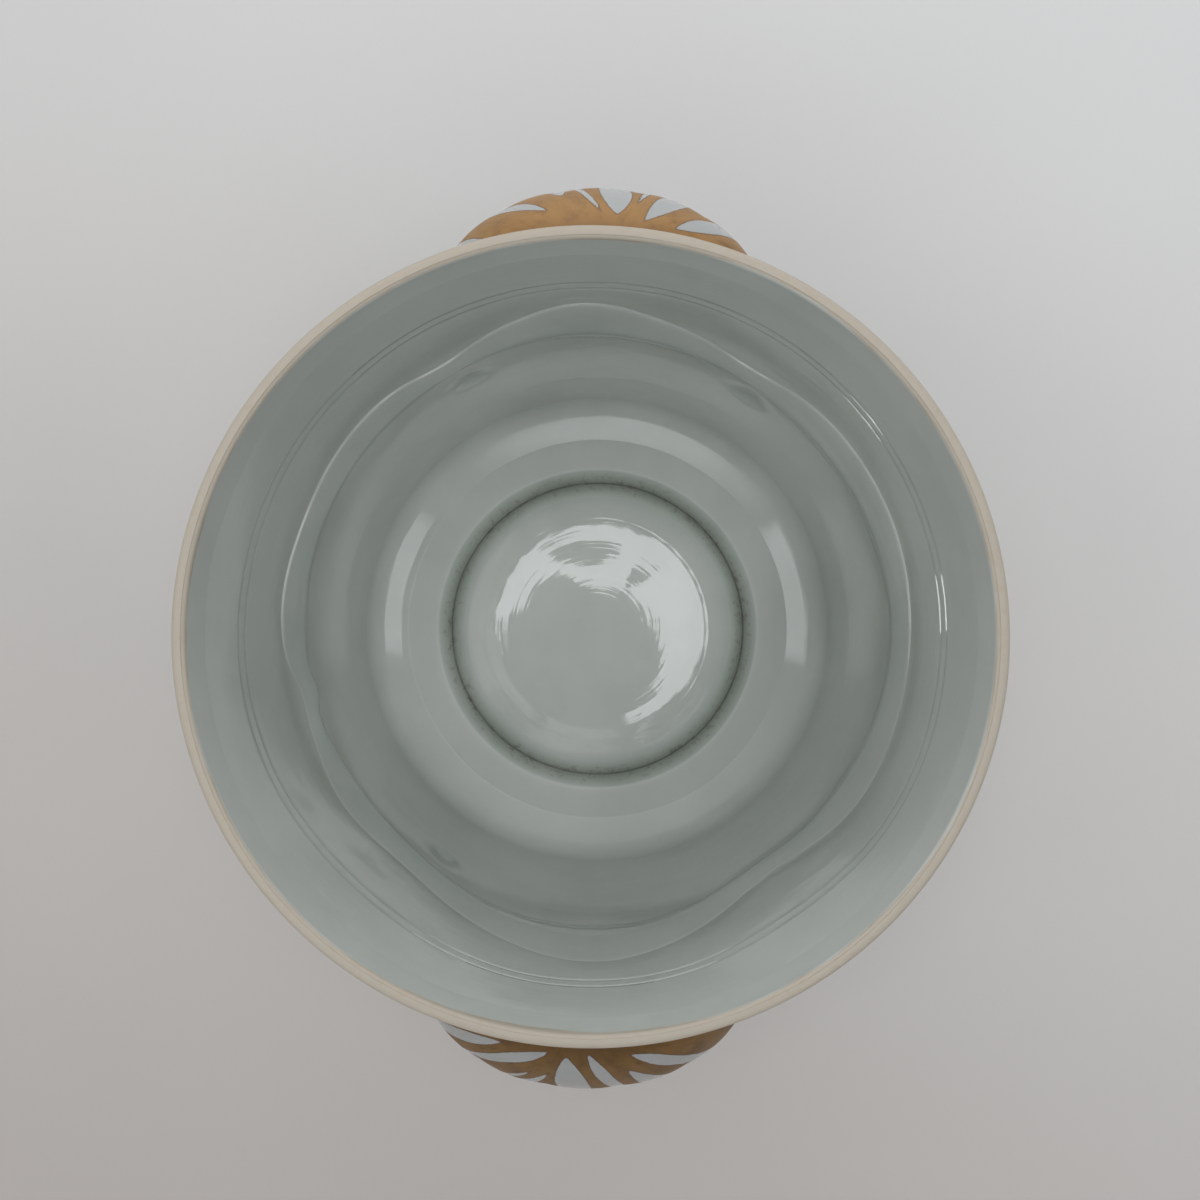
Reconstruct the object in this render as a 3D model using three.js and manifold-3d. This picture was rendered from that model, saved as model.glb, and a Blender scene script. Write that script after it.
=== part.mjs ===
// Porcelain cache pot with two gilded shell handles.
// Millimetres, +Z up. The origin is the centre of the foot, on the surface that the pot stands on.
// The handles are on +Y (back) and -Y (front).
// A depth is measured down from the rim, a height is above the foot, and an inset is in from the rim's edge.

import * as THREE from 'three';
import { mergeVertices } from 'three/addons/utils/BufferGeometryUtils.js';
import Module from 'manifold-3d';

const wasm = await Module();
wasm.setup();

// Whole pot
const potHeight = 168;
const rimRadius = 100;

// Joints between the potter's sections
const lutingGap = 0.3;
const seamDepth = 73.5;
const footRingHeight = 10.5;

// Lip, left bare of glaze
const lipWidth = 4.7;
const lipRise = 1.7;
const lipBandDepth = 6;
const lipBandProud = 1.1;
const lipCoveHeight = 2.6;

// Upper wall, from the lip down to a rounded nose that hangs just over the bowl
const wallFootThickness = 5.2;
const noseDepth = 71.5;
const noseInset = 11.6;
const noseRound = 17.5;
const noseStartAngle = THREE.MathUtils.degToRad(35);
const toolLineDepths = [31.2, 35.6];
const toolLineWidth = 1.1;
const toolLineDeep = 0.5;

// Bead round the outside that covers the joint
const beadProud = 1.8;
const beadHalfHeight = 3.6;

// Lower bowl
const bowlEdgeRound = 1.2;
const cornerInset = 16.8;
const cornerRound = 18;
const cornerHeight = 19.8;
const cornerTopAngle = THREE.MathUtils.degToRad(82);
const cornerInnerFootAngle = THREE.MathUtils.degToRad(14);
const cornerOuterFootAngle = THREE.MathUtils.degToRad(20);
const cornerThickness = 6.2;
const ledgeRadius = 58;
const ledgeHeight = 17.8;
const ledgeEndHeight = 17;

// Floor disc, a shallow dome set in the bottom of the bowl
const floorRadius = 53.5;
const domeCurve = 264;
const domeRadius = 42;
const domeTopHeight = 21.1;
const floorShoulderRadius = 50.5;
const floorShoulderHeight = 16.4;
const grooveHeight = 13.6;
const grooveFlare = 1.9;
const floorThickness = 6.1;
const floorSeatWidth = 3.2;

// Foot ring
const footWidth = 5.8;
const footRadius = 61;
const footWaistRadius = 58.8;
const footTopRadius = 60.2;
const footEdgeRound = 0.9;

// Shell handles
const seatGap = 0.3;
const handleHalfAngle = THREE.MathUtils.degToRad(30);
const handleTopDepth = 15;
const handleArchDepth = 54;
const handleEndDepth = 88;
const handleThickness = 3.4;
const handleRoot = 6;
const shellFullness = 0.55;
const archSharpness = 2.5;
const fluteCount = 9;
const fluteHeight = 1.1;
const scallopDrop = 2.4;
const backHandleReach = 26.2;
const frontHandleReach = 28.2;

// Kiln warp: the rim is drawn in across the handles and spreads the other way
const kilnOval = 1.1;

// Facets
const roundSteps = 56;
const wallCurveSteps = 3;
const bowlCurveSteps = 4;
const baseCurveSteps = 3;
const flankStepsPerFlute = 6;
const rayStart = 0.1;
const raySteps = 9;

// Heights above the foot
const rimHeight = potHeight;
const seamHeight = rimHeight - seamDepth;
const noseHeight = rimHeight - noseDepth;
const cornerCentreHeight = cornerHeight + cornerRound;

// Radii that follow from the sizes above
const lipInnerRadius = rimRadius - lipWidth;
const noseRadius = rimRadius - noseInset;
const noseStartRadius = noseRadius + noseRound * (1 - Math.cos(noseStartAngle));
const noseStartHeight = noseHeight + noseRound * Math.sin(noseStartAngle);
const noseEndAngle = Math.asin((noseHeight - seamHeight) / noseRound);
const noseEndRadius = noseRadius + noseRound * (1 - Math.cos(noseEndAngle));
const wallFootOuterRadius = noseStartRadius + wallFootThickness;
const wallTopOuterRadius = rimRadius - lipBandProud;
const holeRadius = floorRadius + lutingGap / 2;
const discRadius = floorRadius - lutingGap / 2;
const footRingInnerRadius = discRadius - floorSeatWidth;
const cornerCentreRadius = rimRadius - cornerInset - cornerRound;

const porcelain = new THREE.MeshStandardMaterial({ color: 0xc3cac4, roughness: 0.16, metalness: 0 });
const gilding = new THREE.MeshStandardMaterial({ color: 0xb9823f, roughness: 0.34, metalness: 0.75 });

// Radius of the inside of the upper wall at a height, between the lip and the nose
function innerWallRadius(height) {
  const lipBase = rimHeight - lipRise;
  return THREE.MathUtils.mapLinear(height, lipBase, noseStartHeight, lipInnerRadius, noseStartRadius);
}

// Radius of the outside at a height, above and below the bead
function outerWallRadius(height) {
  if (height > seamHeight) {
    const bandFoot = rimHeight - lipBandDepth - lipCoveHeight;
    return THREE.MathUtils.mapLinear(height, seamHeight, bandFoot, wallFootOuterRadius, wallTopOuterRadius);
  }
  const cornerReach = cornerRound + cornerThickness;
  const cornerTop = cornerCentreHeight - cornerReach * Math.cos(cornerTopAngle);
  const cornerEdge = cornerCentreRadius + cornerReach * Math.sin(cornerTopAngle);
  return THREE.MathUtils.mapLinear(height, cornerTop, seamHeight, cornerEdge, wallFootOuterRadius);
}

// How far the kiln has moved a point, as a new position
function warp(point) {
  const above = THREE.MathUtils.clamp((point.z - seamHeight) / (rimHeight - seamHeight), 0, 1);
  const radius = Math.hypot(point.x, point.y);
  if (above === 0 || radius === 0) return point;
  const twice = (point.x * point.x - point.y * point.y) / (radius * radius);
  const scale = 1 + (kilnOval * above * above * twice) / rimRadius;
  point.x *= scale;
  point.y *= scale;
  return point;
}

// A closed solid from a mesh whose seams are merged
function solidFrom(geometry) {
  const bare = geometry.clone();
  bare.deleteAttribute('normal');
  bare.deleteAttribute('uv');
  const merged = mergeVertices(bare, 1e-4);
  return new wasm.Manifold(new wasm.Mesh({
    numProp: 3,
    vertProperties: new Float32Array(merged.attributes.position.array),
    triVerts: new Uint32Array(merged.index.array),
  }));
}

function geometryFrom(solid) {
  const result = solid.getMesh();
  const geometry = new THREE.BufferGeometry();
  geometry.setAttribute('position', new THREE.BufferAttribute(result.vertProperties, 3));
  geometry.setIndex(new THREE.BufferAttribute(result.triVerts, 1));
  geometry.computeVertexNormals();
  return geometry;
}

function warped(geometry) {
  const position = geometry.attributes.position;
  const point = new THREE.Vector3();
  for (let i = 0; i < position.count; i += 1) {
    warp(point.fromBufferAttribute(position, i));
    position.setXYZ(i, point.x, point.y, point.z);
  }
  return geometry;
}

// Turns an outline of radius and height about the pot's axis
function turned(outline, curveSteps) {
  const points = outline.getPoints(curveSteps);
  const tidy = points.filter((p, i) => i === 0 || p.distanceTo(points[i - 1]) > 1e-6);
  const geometry = new THREE.LatheGeometry(tidy, roundSteps);
  geometry.rotateX(Math.PI / 2);
  return warped(geometry);
}

// Outside of the upper wall from the joint to the foot of the lip band, grown outwards
function traceUpperOutside(outline, grow) {
  const beadTop = seamHeight + beadHalfHeight + grow;
  const beadEdge = wallFootOuterRadius + beadProud + grow;
  outline.lineTo(beadEdge, seamHeight);
  outline.quadraticCurveTo(beadEdge, beadTop, outerWallRadius(beadTop) + grow, beadTop);
  outline.lineTo(wallTopOuterRadius + grow, rimHeight - lipBandDepth - lipCoveHeight);
}

// Outside of the bowl from the top of the foot ring to the joint, grown outwards
function traceLowerOutside(outline, grow) {
  outline.lineTo(footTopRadius + grow, footRingHeight);
  outline.absarc(
    cornerCentreRadius, cornerCentreHeight, cornerRound + cornerThickness + grow,
    cornerOuterFootAngle - Math.PI / 2, cornerTopAngle - Math.PI / 2, false,
  );
  const beadFoot = seamHeight - beadHalfHeight - grow;
  const beadEdge = wallFootOuterRadius + beadProud + grow;
  outline.lineTo(outerWallRadius(beadFoot) + grow, beadFoot);
  outline.quadraticCurveTo(beadEdge, beadFoot, beadEdge, seamHeight);
}

// A fine line cut round the inside of the wall with a turning tool
function cutToolLine(outline, depth) {
  const height = rimHeight - depth;
  const half = toolLineWidth / 2;
  outline.lineTo(innerWallRadius(height + half), height + half);
  outline.lineTo(innerWallRadius(height) + toolLineDeep, height);
  outline.lineTo(innerWallRadius(height - half), height - half);
}

function upperWallOutline() {
  const outline = new THREE.Path();
  outline.moveTo(noseEndRadius, seamHeight);
  traceUpperOutside(outline, 0);
  outline.quadraticCurveTo(
    rimRadius, rimHeight - lipBandDepth - lipCoveHeight / 2,
    rimRadius, rimHeight - lipBandDepth,
  );
  outline.lineTo(rimRadius, rimHeight - lipRise);
  outline.absellipse(
    rimRadius - lipWidth / 2, rimHeight - lipRise, lipWidth / 2, lipRise, 0, Math.PI, false,
  );
  toolLineDepths.forEach((depth) => cutToolLine(outline, depth));
  outline.absarc(
    noseRadius + noseRound, noseHeight, noseRound,
    Math.PI - noseStartAngle, Math.PI + noseEndAngle, false,
  );
  return outline;
}

function lowerBowlOutline() {
  const outline = new THREE.Path();
  outline.moveTo(holeRadius, footRingHeight);
  traceLowerOutside(outline, 0);
  outline.lineTo(noseEndRadius + bowlEdgeRound, seamHeight);
  outline.quadraticCurveTo(
    noseEndRadius, seamHeight,
    noseEndRadius, seamHeight - bowlEdgeRound,
  );
  outline.absarc(
    cornerCentreRadius, cornerCentreHeight, cornerRound,
    cornerTopAngle - Math.PI / 2, cornerInnerFootAngle - Math.PI / 2, true,
  );
  outline.lineTo(ledgeRadius, ledgeHeight);
  outline.lineTo(holeRadius + grooveFlare, ledgeEndHeight);
  outline.lineTo(holeRadius, grooveHeight);
  outline.lineTo(holeRadius, footRingHeight);
  return outline;
}

function floorDiscOutline() {
  const domeCentre = domeTopHeight - domeCurve;
  const domeAngle = Math.asin(domeRadius / domeCurve);
  const undersideTop = domeTopHeight - floorThickness;
  const outline = new THREE.Path();
  outline.moveTo(0, undersideTop);
  outline.quadraticCurveTo(footRingInnerRadius / 2, undersideTop, footRingInnerRadius, footRingHeight);
  outline.lineTo(discRadius, footRingHeight);
  outline.lineTo(discRadius, grooveHeight);
  outline.lineTo(floorShoulderRadius, floorShoulderHeight);
  outline.absarc(0, domeCentre, domeCurve, Math.PI / 2 - domeAngle, Math.PI / 2, false);
  return outline;
}

function footRingOutline() {
  const inner = footRadius - footWidth;
  const outline = new THREE.Path();
  outline.moveTo(inner, 0);
  outline.lineTo(footRadius - footEdgeRound, 0);
  outline.quadraticCurveTo(footRadius, 0, footRadius, footEdgeRound);
  outline.quadraticCurveTo(footWaistRadius, footRingHeight / 2, footTopRadius, footRingHeight);
  outline.lineTo(footRingInnerRadius, footRingHeight);
  outline.quadraticCurveTo(inner - footEdgeRound, footRingHeight / 2, inner - footEdgeRound, footEdgeRound);
  outline.lineTo(inner, 0);
  return outline;
}

// A point on the outside of a shell: flank runs from -90 to 90 degrees across the fan,
// ray from 0 at the hinge under the rim to 1 at the open edge
function shellPoint(flank, ray, reach) {
  const swell = Math.sin((ray * Math.PI) / 2);
  const fall = 1 - Math.cos((ray * Math.PI) / 2);
  const side = Math.abs(Math.sin(flank));
  const edgeDepth = handleArchDepth + (handleEndDepth - handleArchDepth) * side ** archSharpness;
  const ridge = Math.abs(Math.cos(fluteCount * flank)) - 0.5;
  const scallop = scallopDrop * ridge * fall;
  const height = rimHeight - handleTopDepth - (edgeDepth - handleTopDepth) * fall - scallop;
  const spread = Math.max(Math.cos(flank), 0) ** shellFullness;
  const radius = outerWallRadius(height) - handleRoot + (reach + handleRoot) * spread * swell
    + fluteHeight * ridge * swell * spread;
  const around = handleHalfAngle * Math.sin(flank) * swell;
  return warp(new THREE.Vector3(radius * Math.sin(around), radius * Math.cos(around), height));
}

// The same point moved in by the shell's thickness, square to its smooth surface
function shellInnerPoint(flank, ray, reach) {
  const step = 0.02;
  const limit = Math.PI / 2 - step;
  const middle = THREE.MathUtils.clamp(flank, -limit, limit);
  const along = shellPoint(middle, Math.min(ray + step, 1), reach).sub(shellPoint(middle, ray - step, reach));
  const across = shellPoint(middle + step, ray, reach).sub(shellPoint(middle - step, ray, reach));
  const outward = new THREE.Vector3().crossVectors(across, along).normalize();
  return shellPoint(flank, ray, reach).addScaledVector(outward, -handleThickness);
}

// The shell as a closed block: an outer skin, an inner skin and the strips between their borders
function shellGeometry(reach) {
  const flankSteps = fluteCount * flankStepsPerFlute;
  const vertices = [];
  const faces = [];
  const row = raySteps + 1;
  const skin = (flankSteps + 1) * row;
  for (const place of [shellPoint, shellInnerPoint]) {
    for (let i = 0; i <= flankSteps; i += 1) {
      const flank = -Math.PI / 2 + (Math.PI * i) / flankSteps;
      for (let j = 0; j <= raySteps; j += 1) {
        const ray = rayStart + ((1 - rayStart) * j) / raySteps;
        vertices.push(...place(flank, ray, reach).toArray());
      }
    }
  }
  const quad = (a, b, c, d) => faces.push(a, b, c, a, c, d);
  for (let i = 0; i < flankSteps; i += 1) {
    for (let j = 0; j < raySteps; j += 1) {
      const a = i * row + j;
      quad(a, a + row, a + row + 1, a + 1);
      quad(skin + a, skin + a + 1, skin + a + row + 1, skin + a + row);
    }
  }
  for (let i = 0; i < flankSteps; i += 1) {
    const hinge = i * row;
    const edge = hinge + raySteps;
    quad(hinge, skin + hinge, skin + hinge + row, hinge + row);
    quad(edge, edge + row, skin + edge + row, skin + edge);
  }
  const last = flankSteps * row;
  for (let j = 0; j < raySteps; j += 1) {
    quad(j, j + 1, skin + j + 1, skin + j);
    quad(last + j, skin + last + j, skin + last + j + 1, last + j + 1);
  }
  const geometry = new THREE.BufferGeometry();
  geometry.setAttribute('position', new THREE.Float32BufferAttribute(vertices, 3));
  geometry.setIndex(faces);
  return geometry;
}

// Everything inside the pot's outside, grown by the gap that the handles keep to it
function wallEnvelope() {
  const outline = new THREE.Path();
  outline.moveTo(0, footRingHeight);
  traceLowerOutside(outline, seatGap);
  traceUpperOutside(outline, seatGap);
  outline.lineTo(0, rimHeight - lipBandDepth - lipCoveHeight);
  return solidFrom(turned(outline, bowlCurveSteps));
}

function shellHandle(name, reach, envelope) {
  const shell = solidFrom(shellGeometry(reach)).subtract(envelope);
  const handle = new THREE.Mesh(geometryFrom(shell), gilding);
  handle.name = name;
  return handle;
}

function section(name, outline, curveSteps) {
  const mesh = new THREE.Mesh(geometryFrom(solidFrom(turned(outline, curveSteps))), porcelain);
  mesh.name = name;
  return mesh;
}

const cachePot = new THREE.Group();
cachePot.add(section('foot_ring', footRingOutline(), baseCurveSteps));
cachePot.add(section('floor_disc', floorDiscOutline(), baseCurveSteps));
cachePot.add(section('lower_bowl', lowerBowlOutline(), bowlCurveSteps));
cachePot.add(section('upper_wall', upperWallOutline(), wallCurveSteps));

const envelope = wallEnvelope();
cachePot.add(shellHandle('back_handle', backHandleReach, envelope));
const frontHandle = shellHandle('front_handle', frontHandleReach, envelope);
frontHandle.rotation.z = Math.PI;
cachePot.add(frontHandle);

export default cachePot;
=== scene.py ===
"""A porcelain cache pot with two gilded shell handles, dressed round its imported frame.

Laid out as a Blender add-on and run as a script. Lengths are metres, +Z is up, the back handle is on +Y.
"""

import math

import bmesh
import bpy
from bpy.props import FloatProperty, FloatVectorProperty, IntProperty, PointerProperty
from mathutils import Matrix, Vector, noise


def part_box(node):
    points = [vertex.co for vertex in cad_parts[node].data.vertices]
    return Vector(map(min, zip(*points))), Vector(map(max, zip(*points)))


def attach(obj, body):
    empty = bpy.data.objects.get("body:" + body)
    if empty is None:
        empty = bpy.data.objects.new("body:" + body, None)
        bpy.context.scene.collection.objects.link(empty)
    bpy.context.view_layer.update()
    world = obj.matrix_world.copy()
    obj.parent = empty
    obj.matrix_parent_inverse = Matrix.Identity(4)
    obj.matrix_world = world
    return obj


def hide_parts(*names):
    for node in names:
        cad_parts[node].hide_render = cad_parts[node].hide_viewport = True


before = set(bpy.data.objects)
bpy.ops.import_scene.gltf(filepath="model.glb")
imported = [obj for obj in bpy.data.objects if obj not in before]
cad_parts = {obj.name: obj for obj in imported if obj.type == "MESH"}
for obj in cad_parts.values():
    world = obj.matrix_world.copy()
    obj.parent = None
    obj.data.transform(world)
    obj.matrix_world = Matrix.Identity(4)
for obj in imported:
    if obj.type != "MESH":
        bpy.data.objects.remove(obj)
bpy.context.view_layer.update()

bl_info = {
    "name": "Cache Pot with Gilded Shells",
    "version": (1, 0, 0),
    "blender": (4, 5, 0),
    "location": "3D View > Sidebar > Cache Pot",
    "description": "Builds a glazed porcelain cache pot with two gilded shell handles",
    "category": "Object",
}

MM = 0.001

# Places that the frame gives
RIM_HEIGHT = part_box("upper_wall")[1].z
SEAM_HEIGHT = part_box("upper_wall")[0].z
BEAD_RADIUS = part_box("lower_bowl")[1].x
FOOT_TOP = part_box("foot_ring")[1].z
FOOT_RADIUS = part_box("foot_ring")[1].x
DISC_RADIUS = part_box("floor_disc")[1].x
DOME_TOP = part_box("floor_disc")[1].z
RIM_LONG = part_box("upper_wall")[1].x
RIM_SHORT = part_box("upper_wall")[1].y

# Soft swells that the potter's hands and the kiln left, each as azimuth, spread (both in degrees) and rise
LEDGE_DROPS = (
    (-51, 12, 7 * MM),
    (-89, 17, -11 * MM),
    (-128, 12, 4 * MM),
    (-160, 14, 12.5 * MM),
    (-167, 5, 4 * MM),
    (161, 12, 2.5 * MM),
    (121, 8, 6.5 * MM),
    (93, 14, -13 * MM),
    (60, 10, 7 * MM),
    (21, 22, -3.5 * MM),
)
NOSE_DROPS = (
    (1, 12, -4 * MM),
    (-30, 9, 4.5 * MM),
    (-89, 25, -2 * MM),
    (-150, 14, 6.5 * MM),
    (-167, 4, 7 * MM),
    (-180, 12, 3.5 * MM),
    (101, 22, -4 * MM),
    (41, 16, 4 * MM),
)
WALL_BULGES = (
    (-54, 15, 3 * MM),
    (-131, 18, 3 * MM),
)
LIP_WIDENINGS = (
    (-97, 16, 1.7 * MM),
    (-189, 18, 0.8 * MM),
    (-271, 12, 0.4 * MM),
    (-24, 12, -0.7 * MM),
    (-299, 10, -0.8 * MM),
)

# Where a thumb steadied the wall behind the ends of the handles: azimuth in degrees, height
THUMB_MARKS = (
    (117.6, 82 * MM),
    (57.8, 81 * MM),
    (-122.8, 78.5 * MM),
)

# Petals left white in the gilding, each drawn as one stroke of the brush: flank in degrees and ray at its
# tip, halfway and at its end, half width, the share of its length over which it widens, whether it ends open
BACK_PETALS = (
    ((-23, 0.41), (-28.5, 0.62), (-34, 0.9), 2.1 * MM, 0.55, True),
    ((-12.5, 0.56), (-12.5, 0.8), (-12, 1.1), 3.6 * MM, 0.6, True),
    ((1, 0.345), (-5.5, 0.58), (-7.5, 0.95), 0.85 * MM, 0.4, True),
    ((9, 0.345), (4, 0.66), (1.5, 1.1), 4.3 * MM, 0.38, True),
    ((14.5, 0.46), (13.3, 0.66), (12.5, 0.95), 0.9 * MM, 0.7, True),
    ((24.5, 0.335), (22.5, 0.6), (20.5, 1), 3.3 * MM, 0.55, True),
    ((40, 0.37), (40.5, 0.6), (39, 0.95), 2.6 * MM, 0.4, True),
    ((-55, 0.45), (-52, 0.65), (-48, 1.05), 2.4 * MM, 0.7, True),
    ((62, 0.45), (58, 0.68), (55, 1.05), 2.2 * MM, 0.7, True),
)
FRONT_PETALS = (
    ((42.5, 0.36), (47.5, 0.6), (46, 0.95), 2.1 * MM, 0.4, True),
    ((19.5, 0.295), (31.5, 0.5), (37, 0.85), 2 * MM, 0.35, False),
    ((18.5, 0.48), (21.5, 0.68), (25, 0.9), 0.9 * MM, 0.4, False),
    ((12, 0.47), (15.5, 0.74), (17, 1.05), 2.5 * MM, 0.7, True),
    ((8.5, 0.315), (2.5, 0.62), (0, 1.1), 4.5 * MM, 0.45, True),
    ((-3.5, 0.28), (-9, 0.56), (-9.5, 1), 1.9 * MM, 0.35, True),
    ((-18.5, 0.43), (-20, 0.72), (-19, 1.05), 4.4 * MM, 0.75, True),
    ((-26, 0.33), (-34.5, 0.56), (-37, 0.95), 2.1 * MM, 0.35, True),
    ((-58, 0.45), (-56, 0.68), (-53, 1.05), 2.3 * MM, 0.7, True),
    ((66, 0.5), (63, 0.7), (60, 1.05), 2 * MM, 0.7, True),
)

# Places in the sky, each to the right and back with its half sizes, in tangents of the angle from straight
# up: how far the bright ceiling reaches, soft glows in front and behind (with their share of the glow's
# brightness), and what hides the ceiling from the pot
CEILING_REACH = 0.45
SKY_GLOWS = (
    (-0.13, -0.85, 0.85, 0.55, 1.0),
    (-0.2, 0.7, 1.1, 0.7, 0.25),
)
CEILING_SHADES = (
    (-0.08, -0.12, 0.31, 0.255),
    (-0.17, 0.085, 0.105, 0.1),
    (-0.1, -0.46, 0.23, 0.26),
    (-0.079, 0.272, 0.129, 0.047),
    (0.133, 0.185, 0.045, 0.035),
)

# The two windows: azimuth and half width in degrees, then the tangents between which they stand
RIGHT_WINDOW = (-12.5, 20, 0.69, 1.15)
LEFT_WINDOW = (192, 19, 0.6, 1.04)

# Soft changes past the ceiling's end and at a window's top and bottom, in tangents, and at a window's ends,
# in degrees
CEILING_EDGE = 0.02
WINDOW_EDGE = 0.02
WINDOW_FADE = 3.5

# Soft changes at a shade's edge and across a glow, in half sizes, and how ragged that edge is, in tangents
SHADE_EDGE = (0.985, 1.015)
GLOW_SPAN = (0.3, 1.0)
SHADE_RAG = 0.14

# Where the even light is dim, as how high and how far back a direction of length 1 points, the lowest height
# that counts, and the light's colour
DIM_HEIGHTS = (0.35, 0.75)
DIM_DEPTHS = (-0.6, 0.5)
LOWEST_LEVEL = 0.05
SKY_TINT = (0.96, 0.98, 1.0)

# Two small panes low on the left, each a name, an azimuth in degrees and a width; then how much they rise
# for each metre of distance, their height and how far off they stand
PANES = (
    ("near_pane", 220, 0.22),
    ("far_pane", 187, 0.25),
)
PANE_RISE = 0.456
PANE_HEIGHT = 0.14
PANE_DISTANCE = 1.4

# The low window behind the pot: its middle, width and height
BACK_WINDOW_PLACE = (0, 1.5, 0.48)
BACK_WINDOW_WIDTH = 2.2
BACK_WINDOW_HEIGHT = 0.6

# The floor: half its size, how much a step to the right counts beside a step back in its painted shade,
# the places between which that painted shade changes, and how far mottling shifts them
FLOOR_HALF = 4.0
FLOOR_SLANT = 0.4
FLOOR_SHADE = (-0.39, 0.45)
FLOOR_MOTTLING = 0.06

# Pixels of the 1200 pixel frame, and the camera's sensor in millimetres and nearest distance in metres
FRAME_PIXELS = 1200
NADIR_PIXEL = (613.0, 616.0)
RIM_CENTRE_PIXEL = (589.0, 635.0)
SENSOR_WIDTH = 36.0
NEAREST_SEEN = 0.01

# Slopes of the bowl's corner, where its outside leaves the wall and where it reaches the foot
CORNER_TOP = math.radians(82)
CORNER_FOOT_OUTSIDE = math.radians(20)

# Distances between the points of an outline, and steps in its small curves
FINE = 0.5 * MM
MEDIUM = 1 * MM
COARSE = 2.2 * MM
TIGHT_STEPS = 6
BEAD_STEPS = 8
DISC_EDGE_STEPS = 10
LIP_STEPS = 12
EDGE_STEPS = 14
UNDERSIDE_STEPS = 16

# The tool lines, and how each is cut from its upper to its lower edge, as shares of its half width and depth
LINE_COUNT = 2
LINE_CUT = (
    (0.5, 0.6),
    (0.15, 0.95),
    (-0.1, 1.0),
    (-0.3, 0.78),
    (-0.5, 0.56),
    (-0.7, 0.34),
    (-0.9, 0.12),
    (-1.0, 0.0),
)

# The small step on the ledge's line: its curve's reach in half heights, how much of it there is in front,
# and where it grows from there, as sines of the azimuth
STEP_REACH = 1.5
STEP_IN_FRONT = 0.12
STEP_GROWS = (-0.2, 0.1)

# Where the curves of the groove's two upper edges are drawn to, back from its wall and below its edge
BOWL_EDGE_BACK = 1 * MM
BOWL_EDGE_DROP = 0.8 * MM
DISC_EDGE_BACK = 0.8 * MM
DISC_EDGE_DROP = 0.6 * MM

# How far inside the outer wall a point of an outline belongs to the inside
INNER_SKIN = 2.5 * MM

# Depths below the rim at which the ledge's drops begin, the nose's drops end and the wall's bulges end, and
# how far the wall comes in for each step of a drop
LEDGE_FADE_DEPTH = 38 * MM
NOSE_FADE_DEPTH = 112 * MM
BULGE_END_DEPTH = 126 * MM
WALL_SLOPE = 0.07

# The wall's waver, and how high the ring round a thumb mark stands and how far the mark reaches, in its half
# sizes squared
WAVER_LENGTH = 32 * MM
WAVER_HEIGHT = 0.18 * MM
THUMB_RING = 0.75
THUMB_LIMIT = 9.0

# How much thicker the glaze lies in the tool lines and in the thumb marks, how much painted shade darkens the
# ledge down to the nose, how much darker the heel is, how much pooled glaze with painted shade darkens round
# the groove, and over what distances
LINE_POOL = 0.9
LINE_POOL_SPREAD = 0.8 * MM
LEDGE_SHADE = 0.25
LEDGE_SHADE_GROWS = 1.2 * MM
NOSE_SHADE = 0.4
NOSE_SHADE_START = 2 * MM
NOSE_SHADE_FULL = 1 * MM
NOSE_SHADE_FADES = (1.5 * MM, 4 * MM)
HEEL_DARKENING = 0.2
HEEL_DARKENING_RADIUS = 82 * MM
HEEL_DARKENING_SPREAD = 2.5 * MM
HEEL_DARKENING_HEIGHTS = (50 * MM, 30 * MM)
GROOVE_POOL_AND_SHADE = 1.1
GROOVE_POOL_AND_SHADE_SPREAD = 5 * MM
GROOVE_POOL_AND_SHADE_REACH = 3 * MM
GROOVE_SLACK = 1 * MM
GRIME_SPREAD = 4.8 * MM
THUMB_POOL = 0.9
THUMB_POOL_REACH = 1.0

# The bare lip: how far it comes down outside, and how ragged its inner edge is over which length
BARE_START = 0.5 * MM
LIP_RAG = 0.35 * MM
LIP_RAG_LENGTH = 7 * MM

# A shell's fan: where its flanks end, the search for the ray at which it leaves the wall, and the step over
# which its slope is taken
FAN_LIMIT = math.radians(87)
ROOT_RAY_START = 0.03
ROOT_HALVINGS = 24
SLOPE_STEP = 0.02

# A petal's stroke: its steps, how bluntly it widens, how far beyond its flanks it counts in degrees, and
# what stands for a point outside all petals
PETAL_STEPS = 56
PETAL_POINT = 1.6
PETAL_MARGIN = 14
FAR_OUTSIDE = -3 * MM

# Points closer than this are merged, and edges sharper than this stay sharp
SAME_POINT = 0.002 * MM
SHARP_EDGE = math.radians(48)


def length(name, description, default):
    """A length that the user can change."""
    return FloatProperty(
        name=name, description=description, default=default, unit="LENGTH", subtype="DISTANCE"
    )


def angle(name, description, degrees):
    """An angle that the user can change."""
    return FloatProperty(
        name=name, description=description, default=math.radians(degrees), unit="ROTATION", subtype="ANGLE"
    )


def colour(name, description, default):
    """A colour that the user can change."""
    return FloatVectorProperty(
        name=name, description=description, default=default, subtype="COLOR", min=0.0, max=1.0
    )


def number(name, description, default):
    """A plain ratio or amount that the user can change."""
    return FloatProperty(name=name, description=description, default=default)


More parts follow.
